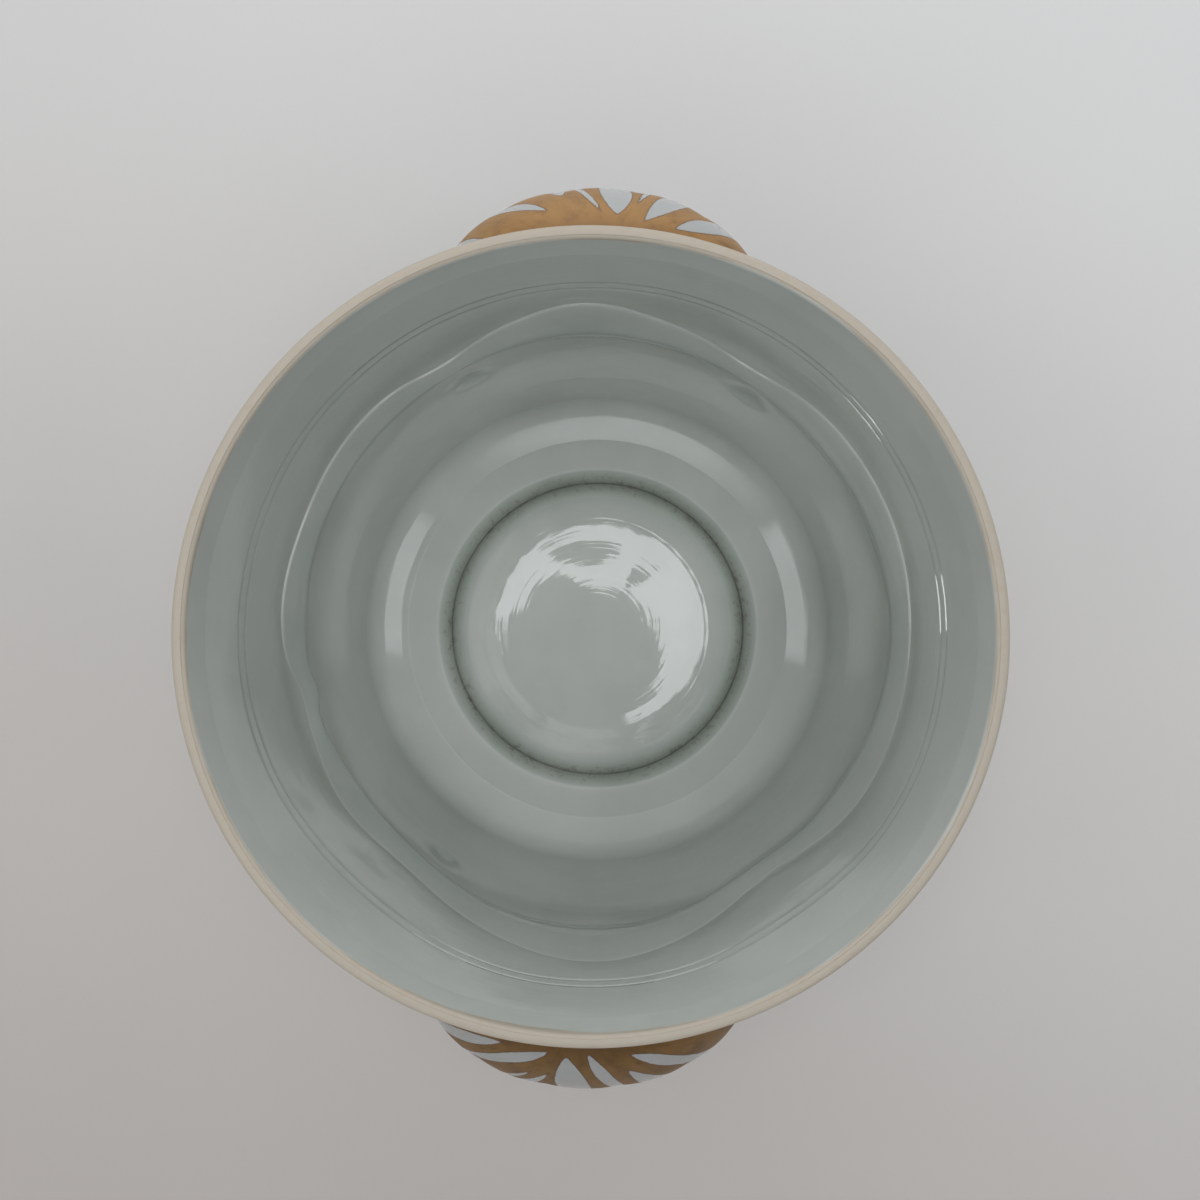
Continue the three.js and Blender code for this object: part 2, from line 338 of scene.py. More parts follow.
class CachePotSizes(bpy.types.PropertyGroup):
    """Sizes of the thrown pot."""

    rim_height: length("Rim height", "Height of the lip above the foot", RIM_HEIGHT)
    rim_radius: length("Rim radius", "Mean outer radius of the lip", (RIM_LONG + RIM_SHORT) / 2)
    kiln_oval: length("Kiln oval", "How far the kiln stretched the rim sideways", (RIM_LONG - RIM_SHORT) / 2)
    seam_height: length("Seam height", "Height of the joint between wall and bowl", SEAM_HEIGHT)
    bead_radius: length("Bead radius", "Radius of the bead outside the joint", BEAD_RADIUS)
    bead_proud: length("Bead stands", "How far the bead stands from the wall", 1.8 * MM)
    bead_half: length("Bead half height", "Half the height of the bead", 3.6 * MM)
    lip_width: length("Lip width", "Thickness of the wall at the lip", 4.7 * MM)
    lip_rise: length("Lip rise", "Height of the lip's rounding", 2.1 * MM)
    lip_crest: length("Lip crest", "How far the lip's crest lies in from the rim", 2.7 * MM)
    lip_flat: length("Lip top", "Width of the lip down to its inner edge", 3.5 * MM)
    lip_edge: length("Lip inner edge", "Rounding of the lip's inner edge", 0.8 * MM)
    lip_throat: length("Lip throat", "Depth at which the wall reaches its full thickness", 9 * MM)
    band_depth: length("Lip band", "Depth of the band outside the lip", 6 * MM)
    band_proud: length("Lip band stands", "How far the band stands from the wall", 1.1 * MM)
    cove_height: length("Lip cove", "Height of the cove under the band", 2.6 * MM)
    bare_width: length("Bare lip", "Width of the lip left without glaze", 4.1 * MM)
    nose_depth: length("Nose depth", "Depth of the rounded nose below the rim", 71.5 * MM)
    nose_inset: length("Nose inset", "How far the nose lies in from the rim", 11.6 * MM)
    nose_round: length("Nose rounding", "Radius of the nose's rounding", 9 * MM)
    nose_start: angle("Ledge lean", "How far the ledge's face leans from upright", 17)
    nose_under: length("Nose undercut", "Radius of the nose's rounding below its level", 6 * MM)
    ledge_depth: length("Ledge depth", "Depth of the line where wall and ledge meet", 61.5 * MM)
    ledge_inset: length("Ledge inset", "How far that line lies in from the rim", 8.4 * MM)
    ledge_step: length("Ledge step", "Width of the small rounded step on that line", 0.6 * MM)
    step_half: length("Ledge step half height", "Half the height over which that step turns in", 0.24 * MM)
    step_length: length("Ledge step length", "Distance over which the ledge takes that step back", 7 * MM)
    nose_sag: length("Nose sag", "Mean drop of the nose below its level on the frame", 3 * MM)
    line_depth: length("Tool line depth", "Depth of the upper tool line below the rim", 31.2 * MM)
    line_pitch: length("Tool line pitch", "Distance between the two tool lines", 4.4 * MM)
    line_width: length("Tool line width", "Width of a tool line", 1.1 * MM)
    line_deep: length("Tool line cut", "How deep a tool line is cut", 0.48 * MM)
    corner_inset: length("Corner inset", "How far the bowl's corner lies in from the rim", 16.8 * MM)
    corner_round: length("Corner rounding", "Distance from the corner's centre to its inside", 18 * MM)
    corner_height: length("Corner height", "Lowest level of the bowl's corner", 19.8 * MM)
    corner_thickness: length("Corner thickness", "Wall thickness at the bowl's corner", 6.2 * MM)
    ring_slope: angle("Ring slope", "Slope of the flat ring round the groove", 6)
    ring_edge: length("Ring edge", "Radius at which the flat ring bends up", 68.6 * MM)
    bend_slope: angle("Bend slope", "Slope just outside that bend", 19.6)
    bend_length: length("Bend length", "Length over which the ring bends up", 0.16 * MM)
    saucer_round: length("Saucer rounding", "Radius of the gentle curve outside the bend", 53 * MM)
    saucer_end: angle("Saucer end", "Slope at which the gentle curve ends", 29.6)
    heel_round: length("Heel rounding", "Radius of the tight curve up into the wall", 9.2 * MM)
    heel_end: angle("Heel end", "Slope at which the wall begins", 85)
    brink_radius: length("Brink radius", "Where the bowl's bottom turns down to the groove", 58 * MM)
    brink_height: length("Brink height", "Height of the bowl's bottom there", 17.9 * MM)
    groove_height: length("Groove height", "Height of the bottom of the groove", 14.7 * MM)
    groove_width: length("Groove width", "Gap left between the bowl and the floor disc", 0.06 * MM)
    dome_radius: length("Dome radius", "Radius at which the floor's dome begins", 42 * MM)
    dome_curve: length("Dome curvature", "Radius of curvature of the floor's dome", 264 * MM)
    shoulder_radius: length("Shoulder radius", "Where the floor disc turns down to the groove", 50.5 * MM)
    shoulder_height: length("Shoulder height", "Height of the floor disc there", 16.4 * MM)
    disc_thickness: length("Floor thickness", "Thickness of the floor disc in the middle", 6.1 * MM)
    disc_seat: length("Floor seat", "Width of the disc's seat on the foot ring", 3.2 * MM)
    foot_width: length("Foot width", "Width of the foot ring", 5.8 * MM)
    foot_waist: length("Foot waist", "Radius of the foot ring's waist", 58.8 * MM)
    foot_top_radius: length("Foot top radius", "Outer radius of the foot ring's top", 60.2 * MM)
    foot_round: length("Foot rounding", "Rounding of the foot's edges", 0.9 * MM)
    thumb_length: length("Thumb mark length", "Half length of a thumb mark", 6.2 * MM)
    thumb_height: length("Thumb mark height", "Half height of a thumb mark", 5.8 * MM)
    thumb_depth: length("Thumb mark depth", "How deep a thumb mark is", 0.95 * MM)
    round_steps: IntProperty(name="Round steps", description="Steps round the pot", default=420, min=24)


class CachePotShells(bpy.types.PropertyGroup):
    """Sizes of the shell handles."""

    half_angle: angle("Half angle", "Half the angle that a shell spans on the pot", 30)
    top_depth: length("Top depth", "Depth of the hinge below the rim", 15 * MM)
    arch_depth: length("Arch depth", "Depth of the open edge in the middle", 54 * MM)
    end_depth: length("End depth", "Depth of a shell's ends below the rim", 88 * MM)
    thickness: length("Thickness", "Wall thickness of a shell", 3.4 * MM)
    root: length("Root", "How far a shell's fan starts inside the wall", 6 * MM)
    fullness: number("Fullness", "How full the fan stays towards its sides", 0.55)
    sharpness: number("Arch sharpness", "How late the open edge drops towards the ends", 2.5)
    flute_count: IntProperty(name="Flutes", description="Number of flutes in a shell", default=9, min=1)
    flute_height: length("Flute height", "Height of a flute", 1.1 * MM)
    scallop_drop: length("Scallop drop", "How far each scallop hangs at the open edge", 2.4 * MM)
    back_reach: length("Back reach", "How far the back shell stands out from the wall", 26.1 * MM)
    front_reach: length("Front reach", "How far the front shell stands out from the wall", 28.1 * MM)
    seat_sink: length("Seat", "How far the luted root lies in the wall's glaze", 0.6 * MM)
    flank_steps: IntProperty(name="Steps across", description="Steps across the fan", default=252, min=9)
    ray_steps: IntProperty(name="Steps along", description="Steps from hinge to edge", default=76, min=4)


class CachePotColours(bpy.types.PropertyGroup):
    """Colours of glaze, bare body, gilding and stage."""

    glaze: colour("Glaze", "Pale grey-green glaze in a thin coat", (0.525, 0.545, 0.515))
    # Pooled glaze colour, which also paints shade on the ledge down to the nose and round the groove
    pooled_and_shade: colour("Pooled glaze", "Glaze where it ran together", (0.27, 0.31, 0.27))
    biscuit: colour("Bare body", "Unglazed porcelain of the lip and foot", (0.448, 0.396, 0.325))
    scorch: colour("Scorched edge", "Orange-brown line where the glaze ends", (0.38, 0.27, 0.155))
    grime: colour("Grime", "Dirt in the groove round the floor", (0.12, 0.095, 0.06))
    iron: colour("Iron speck", "Iron specks in the glaze", (0.035, 0.028, 0.022))
    gold: colour("Gilding", "Worn orange gilding", (0.37, 0.198, 0.06))
    gold_dark: colour("Thick gilding", "Gilding where the brush left it thick", (0.17, 0.082, 0.026))
    # The front shell's gilding and its thick part: darker copies of the back's, as painted shade
    shaded_front_gold: colour("Front gilding", "Browner gilding of the front shell", (0.215, 0.118, 0.038))
    shaded_front_gold_dark: colour("Thick front gilding", "Where it lies thick there", (0.075, 0.035, 0.012))
    petal: colour("Petal", "White glaze left free of gilding", (0.40, 0.41, 0.405))
    front_petal: colour("Front petal", "The same on the front shell, in shade", (0.33, 0.336, 0.332))
    outline: colour("Petal outline", "Brown line round each petal", (0.11, 0.06, 0.045))
    floor: colour("Floor", "The pale surface under the pot", (0.655, 0.652, 0.645))
    # The floor's colour in front, darker as painted shade
    floor_front_shaded: colour("Floor in front", "The same surface towards the front", (0.418, 0.384, 0.359))


class CachePotStage(bpy.types.PropertyGroup):
    """Camera and lamps."""

    focal_pixels: number("Focal length", "Focal length in pixels of the 1200 pixel frame", 1200.0)
    camera_drop: length("Camera distance", "Height of the camera above the rim", 287.4 * MM)
    roll: angle("Roll", "Turn of the pot in the picture, clockwise", 1.2)
    sky_strength: number("Sky strength", "Strength of the even light all round", 0.31)
    front_strength: number("Front strength", "Share of that light that comes from low in front", 0.15)
    ceiling_radiance: number("Ceiling radiance", "Brightness of the ceiling overhead", 3.9)
    east_radiance: number("Right window radiance", "Brightness of the window to the right", 1.9)
    west_radiance: number("Left window radiance", "Brightness of the window to the left", 2.1)
    window_radiance: number("Back window radiance", "Brightness of the low window behind the pot", 2.2)
    pane_radiance: number("Pane radiance", "Brightness of the two small panes low on the left", 8.5)
    glow_radiance: number("Glow radiance", "Brightness of the soft glow high in front", 1.8)


def apart(azimuth, centre):
    """Degrees from a centre to an azimuth, between -180 and 180."""
    return (azimuth - centre + 180.0) % 360.0 - 180.0


def hump(value, centre, spread):
    """1 at the centre, and softly less to both sides."""
    return math.exp(-(((value - centre) / spread) ** 2))


def around(azimuth, swells):
    """Height of the sum of some soft swells at an azimuth in degrees."""
    return sum(rise * hump(apart(azimuth, centre), 0.0, spread) for centre, spread, rise in swells)


def fade(value, start, end):
    """0 before start, 1 after end, and a smooth step between them."""
    part = min(max((value - start) / (end - start), 0.0), 1.0)
    return part * part * (3.0 - 2.0 * part)


def blend(value, start, end, low, high):
    """Low at start, high at end, in a straight line."""
    return low + (high - low) * (value - start) / (end - start)


def spot(radius, height):
    """A point of an outline, in the plane that is turned about the pot's axis."""
    return Vector((radius, 0.0, height))


def polar(point):
    """How far a point lies from the pot's axis, and its azimuth in degrees."""
    return math.hypot(point.x, point.y), math.degrees(math.atan2(point.y, point.x))


def push_out(point, factor):
    """Moves a point away from the pot's axis by a factor, at its own height."""
    point.x *= factor
    point.y *= factor


def straight(start, end, spacing):
    """Points after start up to end, no further apart than the spacing."""
    count = max(1, math.ceil((end - start).length / spacing))
    return [start.lerp(end, i / count) for i in range(1, count + 1)]


def bow(start, control, end, count):
    """Points after start on a curve that is drawn towards a control point."""
    points = []
    for i in range(1, count + 1):
        part = i / count
        points.append(start.lerp(control, part).lerp(control.lerp(end, part), part))
    return points


def arc(centre, radius, first, last, spacing):
    """Points on an arc, with angles from straight outwards towards straight up."""
    count = max(2, math.ceil(abs(last - first) * radius / spacing))
    turns = [first + (last - first) * i / count for i in range(count + 1)]
    return [centre + Vector((radius * math.cos(t), 0.0, radius * math.sin(t))) for t in turns]


def hollow_arc(start, radius, first, last):
    """Points after start on a hollow curve that steepens from one slope to another."""
    centre = start + spot(-radius * math.sin(first), radius * math.cos(first))
    return arc(centre, radius, first - math.pi / 2, last - math.pi / 2, MEDIUM)[1:]


class PotShape:
    """The wall's radii and the marks of throwing and firing, worked out from the sizes."""

    def __init__(self, sizes):
        self.sizes = sizes
        self.known_swells = {}
        self.nose_height = sizes.rim_height - sizes.nose_depth
        self.nose_radius = sizes.rim_radius - sizes.nose_inset
        self.nose_centre = spot(self.nose_radius + sizes.nose_round, self.nose_height)
        self.ledge_height = sizes.rim_height - sizes.ledge_depth
        self.ledge_radius = sizes.rim_radius - sizes.ledge_inset
        self.under_centre = spot(self.nose_radius + sizes.nose_under, self.nose_height)
        self.under_end = math.asin((self.nose_height - sizes.seam_height) / sizes.nose_under)
        self.seam_radius = self.under_centre.x - sizes.nose_under * math.cos(self.under_end)
        self.lip_inner = sizes.rim_radius - sizes.lip_width
        self.lip_base = sizes.rim_height - sizes.lip_rise
        self.wall_foot = sizes.bead_radius - sizes.bead_proud
        self.wall_top = sizes.rim_radius - sizes.band_proud
        self.band_foot = sizes.rim_height - sizes.band_depth - sizes.cove_height
        self.corner_centre = spot(
            sizes.rim_radius - sizes.corner_inset - sizes.corner_round,
            sizes.corner_height + sizes.corner_round,
        )

    def inner_wall(self, height):
        """Inside radius of the upper wall."""
        return blend(height, self.lip_base, self.ledge_height, self.lip_inner, self.ledge_radius)

    def outer_wall(self, height):
        """Outside radius above and below the bead."""
        sizes = self.sizes
        if height > sizes.seam_height:
            return blend(height, sizes.seam_height, self.band_foot, self.wall_foot, self.wall_top)
        top = CORNER_TOP - math.pi / 2
        reach = sizes.corner_round + sizes.corner_thickness
        edge = self.corner_centre + Vector((reach * math.cos(top), 0.0, reach * math.sin(top)))
        return blend(height, edge.z, sizes.seam_height, edge.x, self.wall_foot)

    def warp(self, point):
        """Stretches a point sideways as the kiln did, more towards the rim."""
        sizes = self.sizes
        above = blend(point.z, sizes.seam_height, sizes.rim_height, 0.0, 1.0)
        above = min(max(above, 0.0), 1.0)
        radius = math.hypot(point.x, point.y)
        if above == 0.0 or radius == 0.0:
            return
        twice = (point.x**2 - point.y**2) / radius**2
        push_out(point, 1.0 + sizes.kiln_oval * above**2 * twice / sizes.rim_radius)

    def swells(self, azimuth):
        """Drop of the ledge, drop of the nose and bulge of the wall at an azimuth in degrees."""
        key = round(azimuth, 3)
        if key not in self.known_swells:
            self.known_swells[key] = (
                around(azimuth, LEDGE_DROPS),
                self.sizes.nose_sag + around(azimuth, NOSE_DROPS),
                around(azimuth, WALL_BULGES),
            )
        return self.known_swells[key]

    def is_inside(self, radius, height):
        """Whether a point of the outline lies on the inside above the bowl's bottom."""
        return self.sizes.brink_radius < radius < self.outer_wall(height) - INNER_SKIN

    def press(self, point):
        """Moves a point of the inside as hands and kiln did, and gives its distance to a thumb mark."""
        sizes = self.sizes
        radius, azimuth = polar(point)
        if not self.is_inside(radius, point.z):
            return THUMB_LIMIT
        depth = sizes.rim_height - point.z
        ledge_depth = sizes.rim_height - self.ledge_height
        ledge_drop, nose_drop, bulge = self.swells(azimuth)
        if depth < ledge_depth:
            drop = ledge_drop * fade(depth, LEDGE_FADE_DEPTH, ledge_depth)
        elif depth < sizes.nose_depth:
            drop = blend(depth, ledge_depth, sizes.nose_depth, ledge_drop, nose_drop)
        else:
            drop = nose_drop * (1.0 - fade(depth, sizes.nose_depth, NOSE_FADE_DEPTH))
        bulge *= fade(depth, 0.0, ledge_depth) * (1.0 - fade(depth, sizes.nose_depth, BULGE_END_DEPTH))
        moved = radius - WALL_SLOPE * drop - bulge
        height = point.z - drop
        reach = self.thumb_reach(azimuth, moved, height)
        if reach < THUMB_LIMIT:
            moved += sizes.thumb_depth * math.exp(-reach) * (1.0 - THUMB_RING * reach)
        step = fade(depth, ledge_depth - sizes.step_half, ledge_depth + sizes.step_half)
        step *= 1.0 - fade(depth, ledge_depth + sizes.step_half, ledge_depth + sizes.step_length)
        share = STEP_IN_FRONT + (1.0 - STEP_IN_FRONT) * fade(point.y / radius, *STEP_GROWS)
        moved -= sizes.ledge_step * step * share
        waver = noise.noise(point / WAVER_LENGTH)
        moved += WAVER_HEIGHT * waver * fade(depth, 0.0, WAVER_LENGTH)
        push_out(point, moved / radius)
        point.z = height
        return reach

    def thumb_reach(self, azimuth, radius, height):
        """Distance to the nearest thumb mark, in half sizes of the mark, squared."""
        nearest = THUMB_LIMIT
        for mark_azimuth, mark_height in THUMB_MARKS:
            along = math.radians(apart(azimuth, mark_azimuth)) * radius / self.sizes.thumb_length
            up = (height - mark_height) / self.sizes.thumb_height
            nearest = min(nearest, along**2 + up**2)
        return nearest


def add_object(name, data):
    """Makes an object of its data and puts it in the scene."""
    made = bpy.data.objects.new(name, data)
    bpy.context.scene.collection.objects.link(made)
    return made


def finish_mesh(name, bm, material, node):
    """Makes a piece of a bmesh, merges and turns its faces, and puts it in a node's place."""
    bmesh.ops.remove_doubles(bm, verts=bm.verts, dist=SAME_POINT)
    bmesh.ops.recalc_face_normals(bm, faces=bm.faces)
    mesh = bpy.data.meshes.new(name)
    bm.to_mesh(mesh)
    bm.free()
    mesh.shade_smooth()
    mesh.set_sharp_from_angle(angle=SHARP_EDGE)
    mesh.materials.append(material)
    piece = add_object(name, mesh)
    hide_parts(node)
    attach(piece, "root")
    return piece


def turn(outline, closed, steps):
    """A bmesh of an outline turned about the pot's axis, with the way along it kept for the glaze."""
    bm = bmesh.new()
    along = bm.verts.layers.float.new("along")
    verts = []
    way = 0.0
    for i, place in enumerate(outline):
        if i:
            way += (place - outline[i - 1]).length
        vert = bm.verts.new(place)
        vert[along] = way
        verts.append(vert)
    for first, second in zip(verts, verts[1:]):
        bm.edges.new((first, second))
    if closed:
        bm.edges.new((verts[-1], verts[0]))
    bmesh.ops.spin(
        bm,
        geom=bm.verts[:] + bm.edges[:],
        cent=(0, 0, 0),
        axis=(0, 0, 1),
        angle=math.tau,
        steps=steps,
        use_merge=True,
    )
    return bm


def bead_outside(shape, upward):
    """Half of the bead outside the joint, from its edge to the plain wall."""
    sizes = shape.sizes
    side = 1 if upward else -1
    edge = spot(sizes.bead_radius, sizes.seam_height)
    end_height = sizes.seam_height + side * sizes.bead_half
    end = spot(shape.outer_wall(end_height), end_height)
    return [edge] + bow(edge, spot(sizes.bead_radius, end_height), end, BEAD_STEPS)


def upper_wall_outline(shape):
    """Up the outside, over the lip and down the inside to the joint."""
    sizes = shape.sizes
    line = bead_outside(shape, True)
    line += straight(line[-1], spot(shape.wall_top, shape.band_foot), COARSE)
    band_foot = spot(sizes.rim_radius, sizes.rim_height - sizes.band_depth)
    cove = spot(sizes.rim_radius, band_foot.z - sizes.cove_height / 2)
    line += bow(line[-1], cove, band_foot, TIGHT_STEPS)
    line += straight(line[-1], spot(sizes.rim_radius, shape.lip_base), MEDIUM)
    top = sizes.rim_height
    crest = spot(sizes.rim_radius - sizes.lip_crest, top)
    line += bow(line[-1], spot(sizes.rim_radius, top), crest, LIP_STEPS)
    edge = spot(sizes.rim_radius - sizes.lip_flat, top - sizes.lip_edge / 2)
    line += straight(line[-1], edge + spot(sizes.lip_edge, sizes.lip_edge / 4), FINE)
    line += bow(line[-1], edge, edge - spot(sizes.lip_edge / 4, sizes.lip_edge), BEAD_STEPS)
    throat = top - sizes.lip_throat
    leaning = spot(shape.inner_wall(throat) + sizes.lip_edge, top - sizes.lip_throat / 2)
    line += bow(line[-1], leaning, spot(shape.inner_wall(throat), throat), EDGE_STEPS)
    for i in range(LINE_COUNT):
        middle = top - sizes.line_depth - i * sizes.line_pitch
        edge = sizes.line_width / 2
        line += straight(line[-1], spot(shape.inner_wall(middle + edge), middle + edge), MEDIUM)
        for part, cut in LINE_CUT:
            height = middle + part * edge
            line.append(spot(shape.inner_wall(height) + cut * sizes.line_deep, height))
    corner = spot(shape.ledge_radius, shape.ledge_height)
    nose = arc(shape.nose_centre, sizes.nose_round, math.pi - sizes.nose_start, math.pi, FINE)
    step = sizes.step_half * STEP_REACH
    above = corner + spot(0.0, step)
    below = corner.lerp(nose[0], step / (corner - nose[0]).length)
    line += straight(line[-1], above, MEDIUM)
    line += bow(above, corner, below, EDGE_STEPS)
    line += straight(line[-1], nose[0], MEDIUM)
    line += nose[1:]
    line += arc(shape.under_centre, sizes.nose_under, math.pi, math.pi + shape.under_end, FINE)[1:]
    return line


def lower_bowl_outline(shape):
    """Down the outside to the foot ring, up the hole, over its brink and up the inside to the joint."""
    sizes = shape.sizes
    line = bead_outside(shape, False)
    reach = sizes.corner_round + sizes.corner_thickness
    turns = (CORNER_TOP - math.pi / 2, CORNER_FOOT_OUTSIDE - math.pi / 2)
    outside = arc(shape.corner_centre, reach, *turns, MEDIUM)
    line += straight(line[-1], outside[0], COARSE)
    line += outside[1:]
    line += straight(line[-1], spot(sizes.foot_top_radius, FOOT_TOP), COARSE)
    hole = DISC_RADIUS + sizes.groove_width
    line += straight(line[-1], spot(hole, FOOT_TOP), COARSE)
    line += straight(line[-1], spot(hole, sizes.groove_height), MEDIUM)
    brink = spot(sizes.brink_radius, sizes.brink_height)
    line += bow(line[-1], spot(hole + BOWL_EDGE_BACK, brink.z - BOWL_EDGE_DROP), brink, EDGE_STEPS)
    rise = (sizes.ring_edge - brink.x) * math.tan(sizes.ring_slope)
    line += straight(brink, spot(sizes.ring_edge, brink.z + rise), MEDIUM)
    half = sizes.bend_length / 2
    bend = line[-1] + spot(half, math.tan(sizes.ring_slope) * half)
    saucer = bend + spot(half, math.tan(sizes.bend_slope) * half)
    line += bow(line[-1], bend, saucer, TIGHT_STEPS)
    line += hollow_arc(saucer, sizes.saucer_round, sizes.bend_slope, sizes.saucer_end)
    line += hollow_arc(line[-1], sizes.heel_round, sizes.saucer_end, sizes.heel_end)
    line += straight(line[-1], spot(shape.seam_radius, sizes.seam_height), MEDIUM)
    return line


def floor_disc_outline(shape):
    """From the top of the dome out to the groove, and back under the disc."""
    sizes = shape.sizes
    centre = spot(0.0, DOME_TOP - sizes.dome_curve)
    span = math.asin(sizes.dome_radius / sizes.dome_curve)
    line = arc(centre, sizes.dome_curve, math.pi / 2, math.pi / 2 - span, MEDIUM)
    line[0] = spot(0.0, DOME_TOP)
    line += straight(line[-1], spot(sizes.shoulder_radius, sizes.shoulder_height), MEDIUM)
    groove = spot(DISC_RADIUS, sizes.groove_height)
    edge = spot(DISC_RADIUS - DISC_EDGE_BACK, sizes.shoulder_height - DISC_EDGE_DROP)
    line += bow(line[-1], edge, groove, DISC_EDGE_STEPS)
    line += straight(line[-1], spot(DISC_RADIUS, FOOT_TOP), COARSE)
    seat = spot(DISC_RADIUS - sizes.disc_seat, FOOT_TOP)
    line += straight(line[-1], seat, COARSE)
    underside = DOME_TOP - sizes.disc_thickness
    line += bow(seat, spot(seat.x / 2, underside), spot(0.0, underside), UNDERSIDE_STEPS)
    return line


def foot_ring_outline(shape):
    """Round the foot ring, from its outer edge on the table."""
    sizes = shape.sizes
    inner = FOOT_RADIUS - sizes.foot_width
    hollow = inner - sizes.foot_round
    line = [spot(FOOT_RADIUS - sizes.foot_round, 0.0)]
    line += bow(line[-1], spot(FOOT_RADIUS, 0.0), spot(FOOT_RADIUS, sizes.foot_round), TIGHT_STEPS)
    top = spot(sizes.foot_top_radius, FOOT_TOP)
    line += bow(line[-1], spot(sizes.foot_waist, FOOT_TOP / 2), top, LIP_STEPS)
    line += straight(top, spot(DISC_RADIUS - sizes.disc_seat, FOOT_TOP), COARSE)
    line += bow(line[-1], spot(hollow, FOOT_TOP / 2), spot(hollow, sizes.foot_round), LIP_STEPS)
    line += bow(line[-1], spot(hollow, 0.0), spot(inner, 0.0), TIGHT_STEPS)
    return line


def wall_pool_and_shade(shape, radius, height):
    """Glaze in the tool lines, painted shade on the ledge down to the nose, and darkening at the heel."""
    sizes = shape.sizes
    depth = sizes.rim_height - height
    ledge_depth = sizes.rim_height - shape.ledge_height
    nose_depth = sizes.nose_depth
    from_line = depth - sizes.line_depth
    lines = sum(hump(from_line, i * sizes.line_pitch, LINE_POOL_SPREAD) for i in range(LINE_COUNT))
    # Painted shade on the ledge, growing down to the nose
    band = NOSE_SHADE * fade(depth, ledge_depth + NOSE_SHADE_START, nose_depth + NOSE_SHADE_FULL)
    band = (LEDGE_SHADE + band) * fade(depth, ledge_depth, ledge_depth + LEDGE_SHADE_GROWS)
    band *= 1.0 - fade(depth, nose_depth + NOSE_SHADE_FADES[0], nose_depth + NOSE_SHADE_FADES[1])
    # Darker at the heel
    heel = hump(radius, HEEL_DARKENING_RADIUS, HEEL_DARKENING_SPREAD) * fade(height, *HEEL_DARKENING_HEIGHTS)
    return LINE_POOL * lines + band + HEEL_DARKENING * heel


def glaze_pool_and_shade(shape, radius, height):
    """How much darker the glaze is on the wall, and round the groove with pooled glaze and painted shade."""
    sizes = shape.sizes
    if shape.is_inside(radius, height):
        return wall_pool_and_shade(shape, radius, height)
    if radius < sizes.brink_radius + GROOVE_POOL_AND_SHADE_REACH and height > sizes.groove_height - GROOVE_SLACK:
        # Pooled glaze and painted shade round the groove
        return GROOVE_POOL_AND_SHADE * hump(radius, DISC_RADIUS, GROOVE_POOL_AND_SHADE_SPREAD)
    return 0.0


def groove_grime(shape, radius, height):
    """How much dirt lies in the groove round the floor."""
    if height < shape.sizes.groove_height - GROOVE_SLACK:
        return 0.0
    return hump(radius, DISC_RADIUS, GRIME_SPREAD)


def across_lip(shape, radius, height):
    """How far a point lies along the lip from its outer edge, over its top."""
    sizes = shape.sizes
    depth = sizes.rim_height - height
    inward = sizes.rim_radius - radius
    if radius < sizes.rim_radius - sizes.lip_crest:
        return min(max(inward, sizes.lip_flat + depth), inward + depth)
    if height >= shape.lip_base:
        return inward
    return height - shape.lip_base


def mark_glaze(bm, shape):
    """Keeps on each point how far it lies inside the bare lip, how thick the glaze and its painted shade are,
    and the dirt.
    """
    sizes = shape.sizes
    bare = bm.verts.layers.float.new("bare")
    pooled_and_shade = bm.verts.layers.float.new("pooled_and_shade")
    grime = bm.verts.layers.float.new("grime")
    known = {}
    for vert in bm.verts:
        radius, azimuth = polar(vert.co)
        key = (round(radius, 6), round(vert.co.z, 6))
        if key not in known:
            known[key] = (glaze_pool_and_shade(shape, *key), groove_grime(shape, *key))
        vert[pooled_and_shade], vert[grime] = known[key]
        if sizes.rim_height - vert.co.z > sizes.lip_throat:
            vert[bare] = -sizes.lip_throat / MM
            continue
        across = across_lip(shape, radius, vert.co.z)
        wide = sizes.bare_width + around(azimuth, LIP_WIDENINGS)
        ragged = LIP_RAG * noise.noise(Vector((vert.co.x, vert.co.y, 0.0)) / LIP_RAG_LENGTH)
        vert[bare] = min(across + BARE_START, wide + ragged - across) / MM


def pot_section(name, outline, closed, node, pressed):
    """One turned section of the pot, pressed and warped, in its glaze."""
    scene = bpy.context.scene
    shape = PotShape(scene.cache_pot_sizes)
    bm = turn(outline(shape), closed, scene.cache_pot_sizes.round_steps)
    mark_glaze(bm, shape)
    pooled_and_shade = bm.verts.layers.float["pooled_and_shade"]
    for vert in bm.verts:
        if pressed:
            reach = shape.press(vert.co)
            if reach < THUMB_LIMIT:
                vert[pooled_and_shade] += THUMB_POOL * hump(reach, 0.0, THUMB_POOL_REACH)
        shape.warp(vert.co)
    return finish_mesh(name, bm, glaze_material(), node)


